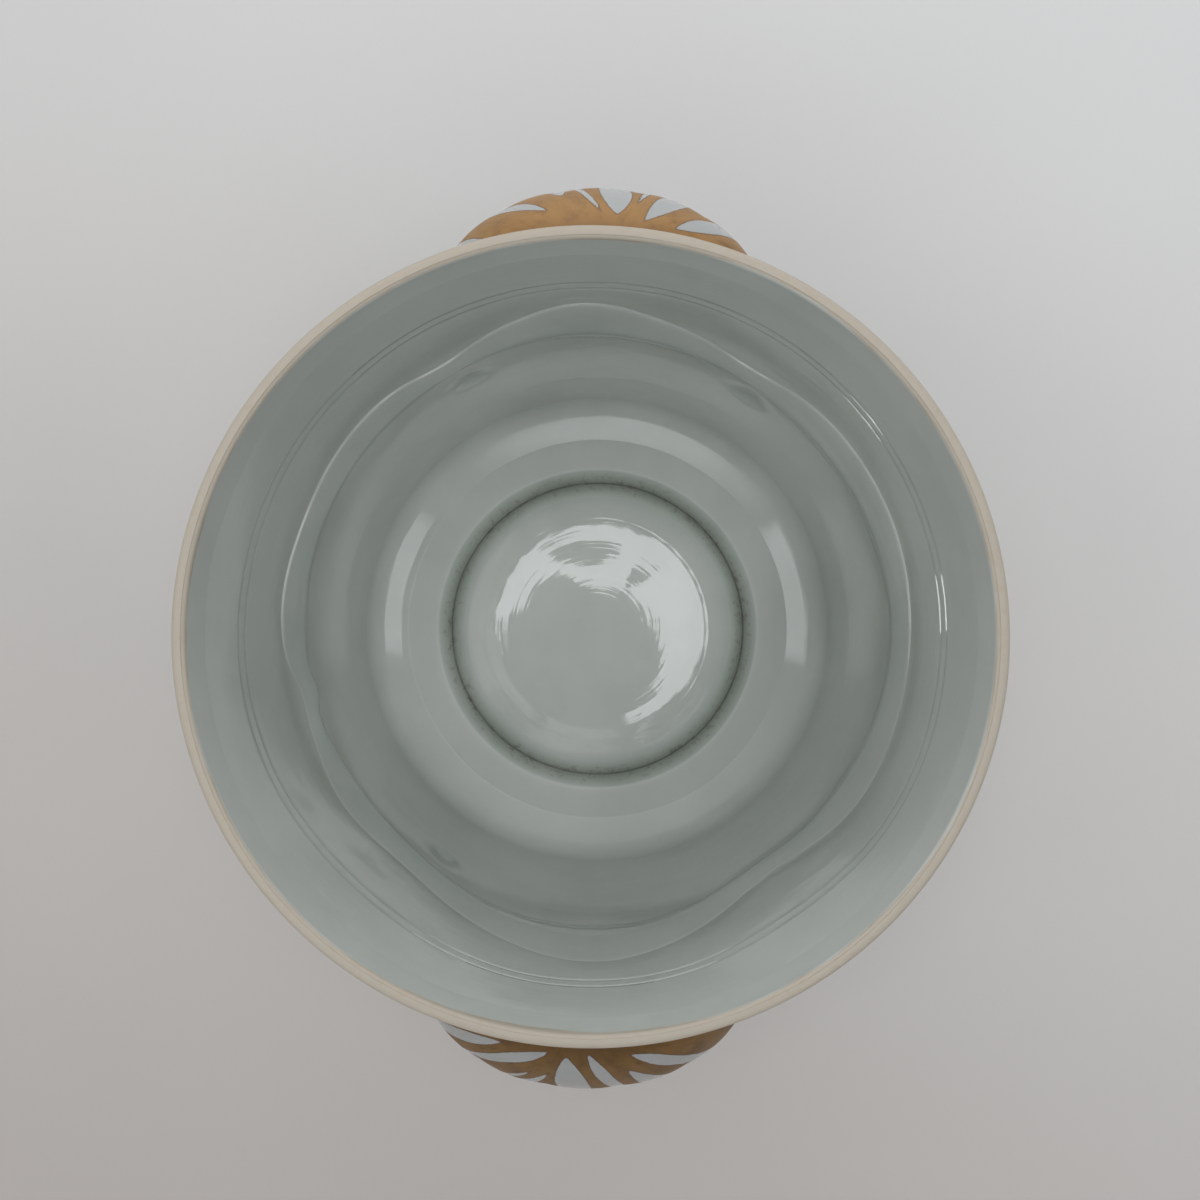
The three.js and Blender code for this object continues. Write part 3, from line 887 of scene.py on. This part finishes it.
class NodeTree:
    """Short calls for the shader nodes that the materials and the sky share."""

    def __init__(self, owner):
        owner.use_nodes = True
        self.tree = owner.node_tree
        self.shader = self.tree.nodes.get("Principled BSDF")

    def node(self, kind, **settings):
        """A new node with its settings."""
        made = self.tree.nodes.new(kind)
        for key, value in settings.items():
            setattr(made, key, value)
        return made

    def link(self, source, target):
        """Joins an output to an input."""
        self.tree.links.new(source, target)

    def feed(self, socket, value):
        """Sets an input to a value, or joins it to the output that gives the value."""
        if isinstance(value, bpy.types.NodeSocket):
            self.link(value, socket)
        else:
            socket.default_value = value

    def surface(self, name, value):
        """Sets an input of the material's shader."""
        self.feed(self.shader.inputs[name], value)

    def position(self):
        """Place on the piece, in metres."""
        return self.node("ShaderNodeTexCoord").outputs["Object"]

    def attribute(self, name):
        """A value that is kept on the piece's points."""
        return self.node("ShaderNodeAttribute", attribute_name=name).outputs["Fac"]

    def parts(self, vector):
        """The X, Y and Z of a vector."""
        made = self.node("ShaderNodeSeparateXYZ")
        self.link(vector, made.inputs[0])
        return tuple(made.outputs)

    def pair(self, x, y):
        """A vector of an X and a Y."""
        made = self.node("ShaderNodeCombineXYZ")
        self.link(x, made.inputs[0])
        self.link(y, made.inputs[1])
        return made.outputs[0]

    def math(self, operation, first, second=0.0, third=0.0):
        """One step of arithmetic."""
        made = self.node("ShaderNodeMath", operation=operation)
        for socket, value in zip(made.inputs, (first, second, third)):
            self.feed(socket, value)
        return made.outputs[0]

    def times(self, first, second):
        """A product."""
        return self.math("MULTIPLY", first, second)

    def hypotenuse(self, aside, away):
        """Length of a slope from its two sides."""
        return self.math("SQRT", self.math("MULTIPLY_ADD", aside, aside, self.times(away, away)))

    def noise(self, place, scale, detail=3.0, rough=0.5, stretch=None):
        """Cloudy noise, its scale in clouds for each metre."""
        if stretch:
            mapping = self.node("ShaderNodeMapping")
            mapping.inputs["Scale"].default_value = stretch
            self.link(place, mapping.inputs["Vector"])
            place = mapping.outputs["Vector"]
        made = self.node("ShaderNodeTexNoise")
        made.inputs["Scale"].default_value = scale
        made.inputs["Detail"].default_value = detail
        made.inputs["Roughness"].default_value = rough
        self.link(place, made.inputs["Vector"])
        return made.outputs["Fac"]

    def range(self, value, low, high, to_low=0.0, to_high=1.0):
        """A value that changes softly from one level to another while the input passes a range."""
        made = self.node("ShaderNodeMapRange", interpolation_type="SMOOTHSTEP")
        for socket, part in zip(made.inputs, (value, low, high, to_low, to_high)):
            self.feed(socket, part)
        return made.outputs[0]

    def mix(self, factor, first, second):
        """The first colour at 0, the second at 1."""
        made = self.node("ShaderNodeMix", data_type="RGBA")
        self.feed(made.inputs["Factor"], factor)
        for name, value in (("A", first), ("B", second)):
            socket = [s for s in made.inputs if s.name == name and s.type == "RGBA"][0]
            self.feed(socket, value if isinstance(value, bpy.types.NodeSocket) else rgba(value))
        return [s for s in made.outputs if s.type == "RGBA"][0]

    def bump(self, height, distance, below=None, strength=1.0):
        """Normals of a fine relief, laid over the one below it."""
        made = self.node("ShaderNodeBump")
        made.inputs["Distance"].default_value = distance
        self.feed(made.inputs["Strength"], strength)
        self.link(height, made.inputs["Height"])
        if below is not None:
            self.link(below, made.inputs["Normal"])
        return made.outputs["Normal"]


def rgba(value):
    """A colour with full opacity."""
    return (value[0], value[1], value[2], 1.0)


def iron_specks(nodes, place):
    """Small round specks, in a few of the cells that the glaze is split into."""
    cells = nodes.node("ShaderNodeTexVoronoi")
    cells.inputs["Scale"].default_value = 55.0
    nodes.link(place, cells.inputs["Vector"])
    lottery = nodes.noise(cells.outputs["Position"], scale=300.0, detail=0.0)
    drawn = nodes.math("GREATER_THAN", lottery, 0.66)
    dot = nodes.range(cells.outputs["Distance"], 0.012, 0.022, 1.0, 0.0)
    return nodes.times(nodes.times(dot, drawn), 0.7)


def groove_dirt(nodes, place, groove):
    """Dirt that lodged in the groove, and what lies strewn beside it."""
    soil = nodes.range(nodes.noise(place, scale=420.0, detail=4.0, rough=0.7), 0.5, 0.68)
    lodged = nodes.times(nodes.range(groove, 0.8, 1.0), nodes.math("MULTIPLY_ADD", soil, 0.45, 0.15))
    strewn = nodes.times(nodes.range(groove, 0.4, 0.95), nodes.math("MULTIPLY_ADD", soil, 0.3, 0.08))
    return nodes.math("MAXIMUM", lodged, strewn)


def glaze_relief(nodes, place, bare):
    """Faint throwing rings, a soft swelling of the glaze, and grit where the body is bare."""
    rings = nodes.node("ShaderNodeTexNoise", noise_dimensions="1D")
    rings.inputs["Scale"].default_value = 1.0
    rings.inputs["Detail"].default_value = 2.0
    nodes.link(nodes.times(nodes.attribute("along"), 420.0), rings.inputs["W"])
    throwing = nodes.bump(rings.outputs["Fac"], 0.026 * MM)
    swelling = nodes.bump(nodes.noise(place, scale=70.0, detail=2.0, rough=0.5), 0.12 * MM, throwing)
    grit = nodes.noise(place, scale=1500.0, detail=2.0, rough=0.6)
    return nodes.bump(grit, 0.05 * MM, swelling, nodes.range(bare, -0.1, 0.3, 0.02, 1.0))


def glaze_material():
    """Glossy grey-green glaze that pools in the hollows, with painted shade on the ledge and groove, and
    stops short of the lip.
    """
    name = "celadon_glaze"
    if name in bpy.data.materials:
        return bpy.data.materials[name]
    colours = bpy.context.scene.cache_pot_colours
    material = bpy.data.materials.new(name)
    nodes = NodeTree(material)
    place = nodes.position()
    bare = nodes.attribute("bare")
    groove = nodes.attribute("grime")
    cloud = nodes.noise(place, scale=24.0, detail=4.0, rough=0.55)
    grain = nodes.noise(place, scale=420.0, detail=2.0, rough=0.6)
    coat = nodes.mix(nodes.range(cloud, 0.35, 0.7, 0.0, 0.22), colours.glaze, colours.pooled_and_shade)
    # Darker where the glaze pools, with painted shade on the ledge and round the groove
    thick = nodes.times(nodes.attribute("pooled_and_shade"), nodes.range(cloud, 0.2, 0.8, 0.55, 1.0))
    coat = nodes.mix(thick, coat, colours.pooled_and_shade)
    coat = nodes.mix(nodes.times(grain, 0.06), coat, colours.petal)
    coat = nodes.mix(iron_specks(nodes, place), coat, colours.iron)
    coat = nodes.mix(groove_dirt(nodes, place, groove), coat, colours.grime)
    body = nodes.mix(nodes.range(grain, 0.45, 0.8, 0.0, 0.16), colours.biscuit, colours.scorch)
    shown = nodes.mix(nodes.range(bare, -0.3, 0.25), coat, body)
    blotch = nodes.noise(place, scale=60.0, detail=4.0, rough=0.6)
    edge = nodes.range(nodes.math("ABSOLUTE", bare), 0.06, 0.34, 1.0, 0.0)
    burnt = nodes.times(edge, nodes.range(blotch, 0.42, 0.62, 0.08, 0.6))
    nodes.surface("Base Color", nodes.mix(burnt, shown, colours.scorch))
    matt = nodes.range(bare, -0.2, 0.2, 0.03, 0.72)
    soiled = nodes.times(nodes.range(groove, 0.04, 0.42), 0.36)
    nodes.surface("Roughness", nodes.math("MAXIMUM", matt, soiled))
    nodes.surface("Specular IOR Level", nodes.range(groove, 0.04, 0.42, 0.5, 0.1))
    nodes.surface("IOR", 1.62)
    nodes.surface("Normal", glaze_relief(nodes, place, bare))
    return material


def brushed_gold(nodes, place, brush, wear, along, tones):
    """Gilding with brush strokes, with painted shade of the lip towards the hinge, and worn at the open edge.
    """
    thin, thick, bare = tones
    gold = nodes.mix(nodes.range(brush, 0.42, 0.76, 0.0, 0.6), thin, thick)
    patch = nodes.noise(place, scale=130.0, detail=4.0, rough=0.6)
    gold = nodes.mix(nodes.range(patch, 0.5, 0.75, 0.0, 0.5), gold, thick)
    gold = nodes.mix(nodes.range(wear, 0.62, 0.78, 0.0, 0.25), gold, bare)
    # Painted shade of the lip: the gilding darkens towards the hinge
    hinge = nodes.range(nodes.math("MULTIPLY_ADD", brush, 0.12, along), 0.12, 0.42, 0.8, 0.0)
    gold = nodes.mix(hinge, gold, thick)
    worn = nodes.range(nodes.math("MULTIPLY_ADD", wear, 0.06, along), 0.95, 1.0, 0.0, 0.8)
    return nodes.mix(worn, gold, bare)


def gilding_material(name, thin, thick, bare):
    """Worn gilding brushed round white petals with brown outlines."""
    if name in bpy.data.materials:
        return bpy.data.materials[name]
    colours = bpy.context.scene.cache_pot_colours
    material = bpy.data.materials.new(name)
    nodes = NodeTree(material)
    place = nodes.position()
    along = nodes.attribute("fan_along")
    fan = nodes.pair(nodes.attribute("fan_across"), along)
    brush = nodes.noise(fan, scale=6.0, detail=5.0, rough=0.65, stretch=(2.4, 1.1, 1.0))
    wear = nodes.noise(place, scale=260.0, detail=5.0, rough=0.7)
    shake = nodes.math("SUBTRACT", nodes.noise(place, scale=520.0, detail=3.0, rough=0.6), 0.5)
    line = nodes.math("ADD", nodes.attribute("petal"), nodes.times(shake, 0.5))
    gold = brushed_gold(nodes, place, brush, wear, along, (thin, thick, bare))
    cloud = nodes.noise(place, scale=60.0)
    white = nodes.mix(nodes.range(cloud, 0.4, 0.8, 0.0, 0.12), bare, colours.pooled_and_shade)
    inside = nodes.range(line, -0.05, 0.1)
    painted = nodes.mix(inside, gold, white)
    edge = nodes.range(nodes.math("ABSOLUTE", nodes.math("ADD", line, 0.12)), 0.08, 0.3, 1.0, 0.0)
    drawn = nodes.times(edge, nodes.range(brush, 0.3, 0.6, 0.85, 0.4))
    nodes.surface("Base Color", nodes.mix(drawn, painted, colours.outline))
    nodes.surface("Metallic", nodes.times(nodes.math("SUBTRACT", 1.0, inside), 0.3))
    nodes.surface("Roughness", nodes.range(line, -0.1, 0.15, 0.5, 0.1))
    nodes.surface("IOR", 1.5)
    nodes.surface("Normal", nodes.bump(wear, 0.03 * MM, nodes.bump(brush, 0.06 * MM)))
    return material


class ShellShape:
    """The surface of one shell handle, laid on the pot's wall."""

    def __init__(self, shells, pot, reach):
        self.shells = shells
        self.pot = pot
        self.reach = reach

    def outside(self, flank, ray):
        """A point on the outside: flank runs across the fan, ray from the hinge to the open edge."""
        shells = self.shells
        swell = math.sin(ray * math.pi / 2)
        fall = 1.0 - math.cos(ray * math.pi / 2)
        side = abs(math.sin(flank)) ** shells.sharpness
        edge_depth = shells.arch_depth + (shells.end_depth - shells.arch_depth) * side
        ridge = abs(math.cos(shells.flute_count * flank)) - 0.5
        depth = shells.top_depth + (edge_depth - shells.top_depth) * fall + shells.scallop_drop * ridge * fall
        height = self.pot.sizes.rim_height - depth
        spread = max(math.cos(flank), 0.0) ** shells.fullness
        radius = self.pot.outer_wall(height) - shells.root
        radius += ((self.reach + shells.root) * spread + shells.flute_height * ridge * spread) * swell
        azimuth = shells.half_angle * math.sin(flank) * swell
        return Vector((radius * math.sin(azimuth), radius * math.cos(azimuth), height))

    def inside(self, flank, ray):
        """The same point moved in by the shell's thickness."""
        along = self.outside(flank, ray) - self.outside(flank, ray - SLOPE_STEP)
        across = self.outside(flank + SLOPE_STEP, ray) - self.outside(flank - SLOPE_STEP, ray)
        inward = along.cross(across).normalized()
        return self.outside(flank, ray) + inward * self.shells.thickness

    def clearance(self, point):
        """How far a point stands off the seat, which lies a little inside the wall."""
        wall = self.pot.outer_wall(point.z) - self.shells.seat_sink
        return math.hypot(point.x, point.y) - wall

    def root_ray(self, place, flank):
        """The ray at which a skin leaves the wall."""
        low, high = ROOT_RAY_START, 1.0
        if self.clearance(place(flank, high)) <= 0.0:
            return high
        for _ in range(ROOT_HALVINGS):
            middle = (low + high) / 2
            if self.clearance(place(flank, middle)) > 0.0:
                high = middle
            else:
                low = middle
        return high

    def seat(self, point):
        """Keeps a point from sinking deeper into the wall than the seat."""
        short = -self.clearance(point)
        radius = math.hypot(point.x, point.y)
        if short > 0.0:
            push_out(point, (radius + short) / radius)


class Petal:
    """One stroke of white on a shell, as points along its middle with the brush's half width at each."""

    def __init__(self, shell, tip, middle, end, half_width, widening, is_open):
        self.points = []
        flanks = (tip[0], middle[0], end[0])
        self.flanks = (min(flanks) - PETAL_MARGIN, max(flanks) + PETAL_MARGIN)
        pull = [2 * m - (t + e) / 2 for t, m, e in zip(tip, middle, end)]
        for i in range(PETAL_STEPS + 1):
            part = i / PETAL_STEPS
            flank, ray = (
                (1 - part) ** 2 * t + 2 * part * (1 - part) * p + part**2 * e
                for t, p, e in zip(tip, pull, end)
            )
            wide = half_width * (1.0 - (1.0 - min(part / widening, 1.0)) ** PETAL_POINT)
            if part > widening and not is_open:
                wide *= math.cos((part - widening) / (1.0 - widening) * math.pi / 2)
            self.points.append((shell.outside(math.radians(flank), ray), wide))

    def margin(self, point):
        """How far a point lies inside the stroke, below zero outside it."""
        return max(wide - (point - place).length for place, wide in self.points)


def petal_margin(petals, flank, point):
    """How far a point lies inside the nearest petal, below zero outside them all."""
    degrees = math.degrees(flank)
    near = [petal for petal in petals if petal.flanks[0] < degrees < petal.flanks[1]]
    return max([FAR_OUTSIDE] + [petal.margin(point) for petal in near])


def build_shell(name, node, reach, strokes, turned, material):
    """A fluted, scalloped shell, open below, seated on the wall."""
    scene = bpy.context.scene
    shells = scene.cache_pot_shells
    pot = PotShape(scene.cache_pot_sizes)
    shell = ShellShape(shells, pot, reach)
    petals = [Petal(shell, *stroke) for stroke in strokes]
    turn_round = Matrix.Rotation(math.pi if turned else 0.0, 3, "Z")
    bm = bmesh.new()
    across = bm.verts.layers.float.new("fan_across")
    along = bm.verts.layers.float.new("fan_along")
    white = bm.verts.layers.float.new("petal")
    bmesh.ops.create_grid(bm, x_segments=shells.flank_steps, y_segments=shells.ray_steps, size=1.0)
    for vert in bm.verts:
        vert[across] = math.sin(vert.co.x * math.pi / 2)
        vert[along] = (vert.co.y + 1.0) / 2
    outer = list(bm.verts)
    grown = bmesh.ops.extrude_face_region(bm, geom=bm.faces[:], use_keep_orig=True)
    inner = [item for item in grown["geom"] if isinstance(item, bmesh.types.BMVert)]
    for verts, place, painted in ((outer, shell.outside, petals), (inner, shell.inside, [])):
        roots = {}
        for vert in verts:
            flank = vert[across] * FAN_LIMIT
            key = round(flank, 6)
            if key not in roots:
                roots[key] = shell.root_ray(place, flank)
            point = place(flank, roots[key] + (1.0 - roots[key]) * vert[along])
            shell.seat(point)
            vert[white] = petal_margin(painted, flank, point) / MM
            point.rotate(turn_round)
            pot.warp(point)
            vert.co = point
    return finish_mesh(name, bm, material, node)


class CACHEPOT_OT_upper_wall(bpy.types.Operator):
    """Turn the upper wall, with its bare lip, tool lines and wavy nose"""

    bl_idname = "cache_pot.upper_wall"
    bl_label = "Upper wall"

    def execute(self, context):
        pot_section("porcelain_upper_wall", upper_wall_outline, True, "upper_wall", True)
        return {"FINISHED"}


class CACHEPOT_OT_lower_bowl(bpy.types.Operator):
    """Turn the bowl under the nose, with its rounded corner"""

    bl_idname = "cache_pot.lower_bowl"
    bl_label = "Lower bowl"

    def execute(self, context):
        pot_section("porcelain_lower_bowl", lower_bowl_outline, True, "lower_bowl", True)
        return {"FINISHED"}


class CACHEPOT_OT_floor_disc(bpy.types.Operator):
    """Turn the domed floor inside the groove"""

    bl_idname = "cache_pot.floor_disc"
    bl_label = "Floor disc"

    def execute(self, context):
        pot_section("porcelain_floor_disc", floor_disc_outline, False, "floor_disc", False)
        return {"FINISHED"}


class CACHEPOT_OT_foot_ring(bpy.types.Operator):
    """Turn the foot ring"""

    bl_idname = "cache_pot.foot_ring"
    bl_label = "Foot ring"

    def execute(self, context):
        pot_section("porcelain_foot_ring", foot_ring_outline, True, "foot_ring", False)
        return {"FINISHED"}


class CACHEPOT_OT_shell_handles(bpy.types.Operator):
    """Press the two shells and gild them round their petals"""

    bl_idname = "cache_pot.shell_handles"
    bl_label = "Shell handles"

    def execute(self, context):
        shells = context.scene.cache_pot_shells
        colours = context.scene.cache_pot_colours
        bright = gilding_material("worn_gilding", colours.gold, colours.gold_dark, colours.petal)
        # The front shell gets darker copies of the gilding and petal colours, as painted shade
        tones = (colours.shaded_front_gold, colours.shaded_front_gold_dark, colours.front_petal)
        brown = gilding_material("brown_gilding", *tones)
        build_shell("gilded_back_shell", "back_handle", shells.back_reach, BACK_PETALS, False, bright)
        build_shell("gilded_front_shell", "front_handle", shells.front_reach, FRONT_PETALS, True, brown)
        return {"FINISHED"}


def pixel_ray(pixel, focal):
    """Direction through a pixel, in the camera's axes."""
    middle = FRAME_PIXELS / 2
    return Vector((pixel[0] - middle, middle - pixel[1], -focal)) / focal


def add_camera(stage, rim_height):
    """Looks down into the pot, a little to one side of its axis."""
    down = pixel_ray(NADIR_PIXEL, stage.focal_pixels).normalized()
    up = -down
    right = (Vector((1, 0, 0)) - up * up.x).normalized()
    away = up.cross(right)
    pot_x = right * math.cos(stage.roll) - away * math.sin(stage.roll)
    pot_y = right * math.sin(stage.roll) + away * math.cos(stage.roll)
    look = pixel_ray(RIM_CENTRE_PIXEL, stage.focal_pixels)
    rim_centre = look * (stage.camera_drop / look.dot(down))
    turned = Matrix((pot_x, pot_y, up))
    place = Vector((0, 0, rim_height)) - turned @ rim_centre
    data = bpy.data.cameras.new("overhead_camera")
    data.sensor_width = SENSOR_WIDTH
    data.lens = SENSOR_WIDTH * stage.focal_pixels / FRAME_PIXELS
    data.clip_start = NEAREST_SEEN
    camera = add_object("overhead_camera", data)
    camera.matrix_world = Matrix.Translation(place) @ turned.to_4x4()
    bpy.context.scene.camera = camera


def add_panel(name, place, facing, width, height, radiance):
    """A soft panel with the brightness that the pot's mirror-like glaze shows of it."""
    data = bpy.data.lights.new(name, "AREA")
    data.shape = "RECTANGLE"
    data.size = width
    data.size_y = height
    data.energy = radiance * math.pi * width * height
    aim = Vector(facing).to_track_quat("-Z", "Y").to_matrix()
    add_object(name, data).matrix_world = Matrix.Translation(place) @ aim.to_4x4()


def add_windows(stage):
    """The low window behind the pot, and the two small panes low on the left."""
    size = (BACK_WINDOW_WIDTH, BACK_WINDOW_HEIGHT)
    add_panel("back_window", BACK_WINDOW_PLACE, (0, -1, 0), *size, stage.window_radiance)
    for name, azimuth, width in PANES:
        turned = math.radians(azimuth)
        away = Vector((math.cos(turned), math.sin(turned), PANE_RISE))
        add_panel(name, away * PANE_DISTANCE, -away, width, PANE_HEIGHT, stage.pane_radiance)


def floor_material(colours):
    """Matt pale surface, darker in front as painted shade, with the faintest mottling."""
    material = bpy.data.materials.new("pale_floor")
    nodes = NodeTree(material)
    place = nodes.position()
    right, behind, _ = nodes.parts(place)
    slant = nodes.math("MULTIPLY_ADD", right, FLOOR_SLANT, behind)
    mottling = nodes.noise(place, scale=9.0, detail=4.0, rough=0.6)
    # Painted shade: the floor's colour darkens towards the front
    tone = nodes.range(nodes.math("MULTIPLY_ADD", mottling, FLOOR_MOTTLING, slant), *FLOOR_SHADE)
    nodes.surface("Base Color", nodes.mix(tone, colours.floor_front_shaded, colours.floor))
    nodes.surface("Roughness", 0.9)
    nodes.surface("Specular IOR Level", 0.1)
    return material


def add_floor(colours):
    """The surface that the pot stands on."""
    bm = bmesh.new()
    bmesh.ops.create_grid(bm, x_segments=1, y_segments=1, size=FLOOR_HALF)
    mesh = bpy.data.meshes.new("pale_floor")
    bm.to_mesh(mesh)
    bm.free()
    mesh.materials.append(floor_material(colours))
    floor = add_object("pale_floor", mesh)


class Sky:
    """The light all round, in tangents of the angle from straight up to the right and back."""

    def __init__(self, nodes):
        self.nodes = nodes
        direction = nodes.node("ShaderNodeTexCoord").outputs["Generated"]
        right, self.behind, self.up = nodes.parts(direction)
        level = nodes.math("MAXIMUM", self.up, LOWEST_LEVEL)
        self.across = nodes.math("DIVIDE", right, level)
        self.back = nodes.math("DIVIDE", self.behind, level)
        self.reach = nodes.hypotenuse(self.across, self.back)

    def span(self, patch):
        """How far a direction lies from the middle of a patch of sky, in the patch's half sizes."""
        nodes = self.nodes
        right, behind, wide, deep = patch
        aside = nodes.math("DIVIDE", nodes.math("SUBTRACT", self.across, right), wide)
        away = nodes.math("DIVIDE", nodes.math("SUBTRACT", self.back, behind), deep)
        return nodes.hypotenuse(aside, away)

    def window(self, sector):
        """1 inside a window that stands in the sky, 0 outside it, with a soft change at its ends."""
        nodes = self.nodes
        azimuth, half, inner, outer = sector
        turned = nodes.math("ARCTAN2", self.back, self.across)
        turned = nodes.math("SUBTRACT", turned, math.radians(azimuth))
        ends = [math.cos(math.radians(half + side * WINDOW_FADE)) for side in (1, -1)]
        beside = nodes.range(nodes.math("COSINE", turned), *ends)
        above = nodes.range(self.reach, outer - WINDOW_EDGE, outer + WINDOW_EDGE, 1.0, 0.0)
        below = nodes.range(self.reach, inner - WINDOW_EDGE, inner + WINDOW_EDGE)
        return nodes.times(beside, nodes.times(above, below))

    def ceiling(self):
        """1 on the bright ceiling, 0 beyond it and where something hides it from the pot."""
        nodes = self.nodes
        plan = nodes.pair(self.across, self.back)
        rag = nodes.math("SUBTRACT", nodes.noise(plan, scale=12.0, detail=6.0, rough=0.65), 0.5)
        lit = nodes.range(self.reach, CEILING_REACH, CEILING_REACH + CEILING_EDGE, 1.0, 0.0)
        for shade in CEILING_SHADES:
            ragged = nodes.math("MULTIPLY_ADD", rag, SHADE_RAG / shade[2], self.span(shade))
            lit = nodes.times(lit, nodes.range(ragged, *SHADE_EDGE))
        return lit

    def even(self, stage):
        """Light that is the same all round, but dimmer low in front."""
        nodes = self.nodes
        low = nodes.range(self.up, *DIM_HEIGHTS, 1.0, 0.0)
        front = nodes.times(low, nodes.range(self.behind, *DIM_DEPTHS, 1.0, 0.0))
        missing = -stage.sky_strength * (1.0 - stage.front_strength)
        return nodes.math("MULTIPLY_ADD", front, missing, stage.sky_strength)


def add_sky(stage, colours):
    """Even light, soft glows, two windows and a bright ceiling; the camera sees the floor's colour there."""
    world = bpy.data.worlds.new("even_sky")
    bpy.context.scene.world = world
    nodes = NodeTree(world)
    sky = Sky(nodes)
    bright = nodes.times(sky.ceiling(), stage.ceiling_radiance)
    for *patch, share in SKY_GLOWS:
        glow = nodes.range(sky.span(patch), *GLOW_SPAN, share * stage.glow_radiance, 0.0)
        bright = nodes.math("ADD", bright, glow)
    for sector, radiance in ((RIGHT_WINDOW, stage.east_radiance), (LEFT_WINDOW, stage.west_radiance)):
        bright = nodes.math("MULTIPLY_ADD", sky.window(sector), radiance, bright)
    lamp = nodes.tree.nodes["Background"]
    lamp.inputs["Color"].default_value = rgba(SKY_TINT)
    nodes.link(nodes.math("ADD", bright, sky.even(stage)), lamp.inputs["Strength"])
    seen = nodes.node("ShaderNodeBackground")
    seen.inputs["Color"].default_value = rgba(colours.floor)
    seen.inputs["Strength"].default_value = 1.0
    chosen = nodes.node("ShaderNodeMixShader")
    nodes.link(nodes.node("ShaderNodeLightPath").outputs["Is Camera Ray"], chosen.inputs[0])
    nodes.link(lamp.outputs[0], chosen.inputs[1])
    nodes.link(seen.outputs[0], chosen.inputs[2])
    nodes.link(chosen.outputs[0], nodes.tree.nodes["World Output"].inputs["Surface"])


class CACHEPOT_OT_stage(bpy.types.Operator):
    """Set out the floor, the camera, the lamps and the sky"""

    bl_idname = "cache_pot.stage"
    bl_label = "Stage"

    def execute(self, context):
        scene = context.scene
        stage = scene.cache_pot_stage
        add_floor(scene.cache_pot_colours)
        add_camera(stage, scene.cache_pot_sizes.rim_height)
        add_windows(stage)
        add_sky(stage, scene.cache_pot_colours)
        scene.view_settings.view_transform = "Standard"
        return {"FINISHED"}


class CACHEPOT_PT_build(bpy.types.Panel):
    """Lists the pot's parts and their sizes"""

    bl_idname = "CACHEPOT_PT_build"
    bl_label = "Cache pot"
    bl_space_type = "VIEW_3D"
    bl_region_type = "UI"
    bl_category = "Cache Pot"

    def draw(self, context):
        layout = self.layout
        for operator in OPERATORS:
            layout.operator(operator.bl_idname)
        scene = context.scene
        for group in (
            scene.cache_pot_sizes, scene.cache_pot_shells, scene.cache_pot_colours, scene.cache_pot_stage
        ):
            box = layout.box()
            for key in group.__annotations__:
                box.prop(group, key)


GROUPS = {
    "cache_pot_sizes": CachePotSizes,
    "cache_pot_shells": CachePotShells,
    "cache_pot_colours": CachePotColours,
    "cache_pot_stage": CachePotStage,
}
OPERATORS = (
    CACHEPOT_OT_upper_wall,
    CACHEPOT_OT_lower_bowl,
    CACHEPOT_OT_floor_disc,
    CACHEPOT_OT_foot_ring,
    CACHEPOT_OT_shell_handles,
    CACHEPOT_OT_stage,
)


def register():
    """Makes the sizes, the operators and the panel known."""
    for key, group in GROUPS.items():
        bpy.utils.register_class(group)
        setattr(bpy.types.Scene, key, PointerProperty(type=group))
    for operator in OPERATORS:
        bpy.utils.register_class(operator)
    bpy.utils.register_class(CACHEPOT_PT_build)


def unregister():
    """Takes them out again."""
    bpy.utils.unregister_class(CACHEPOT_PT_build)
    for operator in reversed(OPERATORS):
        bpy.utils.unregister_class(operator)
    for key, group in GROUPS.items():
        delattr(bpy.types.Scene, key)
        bpy.utils.unregister_class(group)


def main():
    """Builds the pot and its stage."""
    register()
    bpy.ops.cache_pot.upper_wall()
    bpy.ops.cache_pot.lower_bowl()
    bpy.ops.cache_pot.floor_disc()
    bpy.ops.cache_pot.foot_ring()
    bpy.ops.cache_pot.shell_handles()
    bpy.ops.cache_pot.stage()


if __name__ == "__main__":
    main()
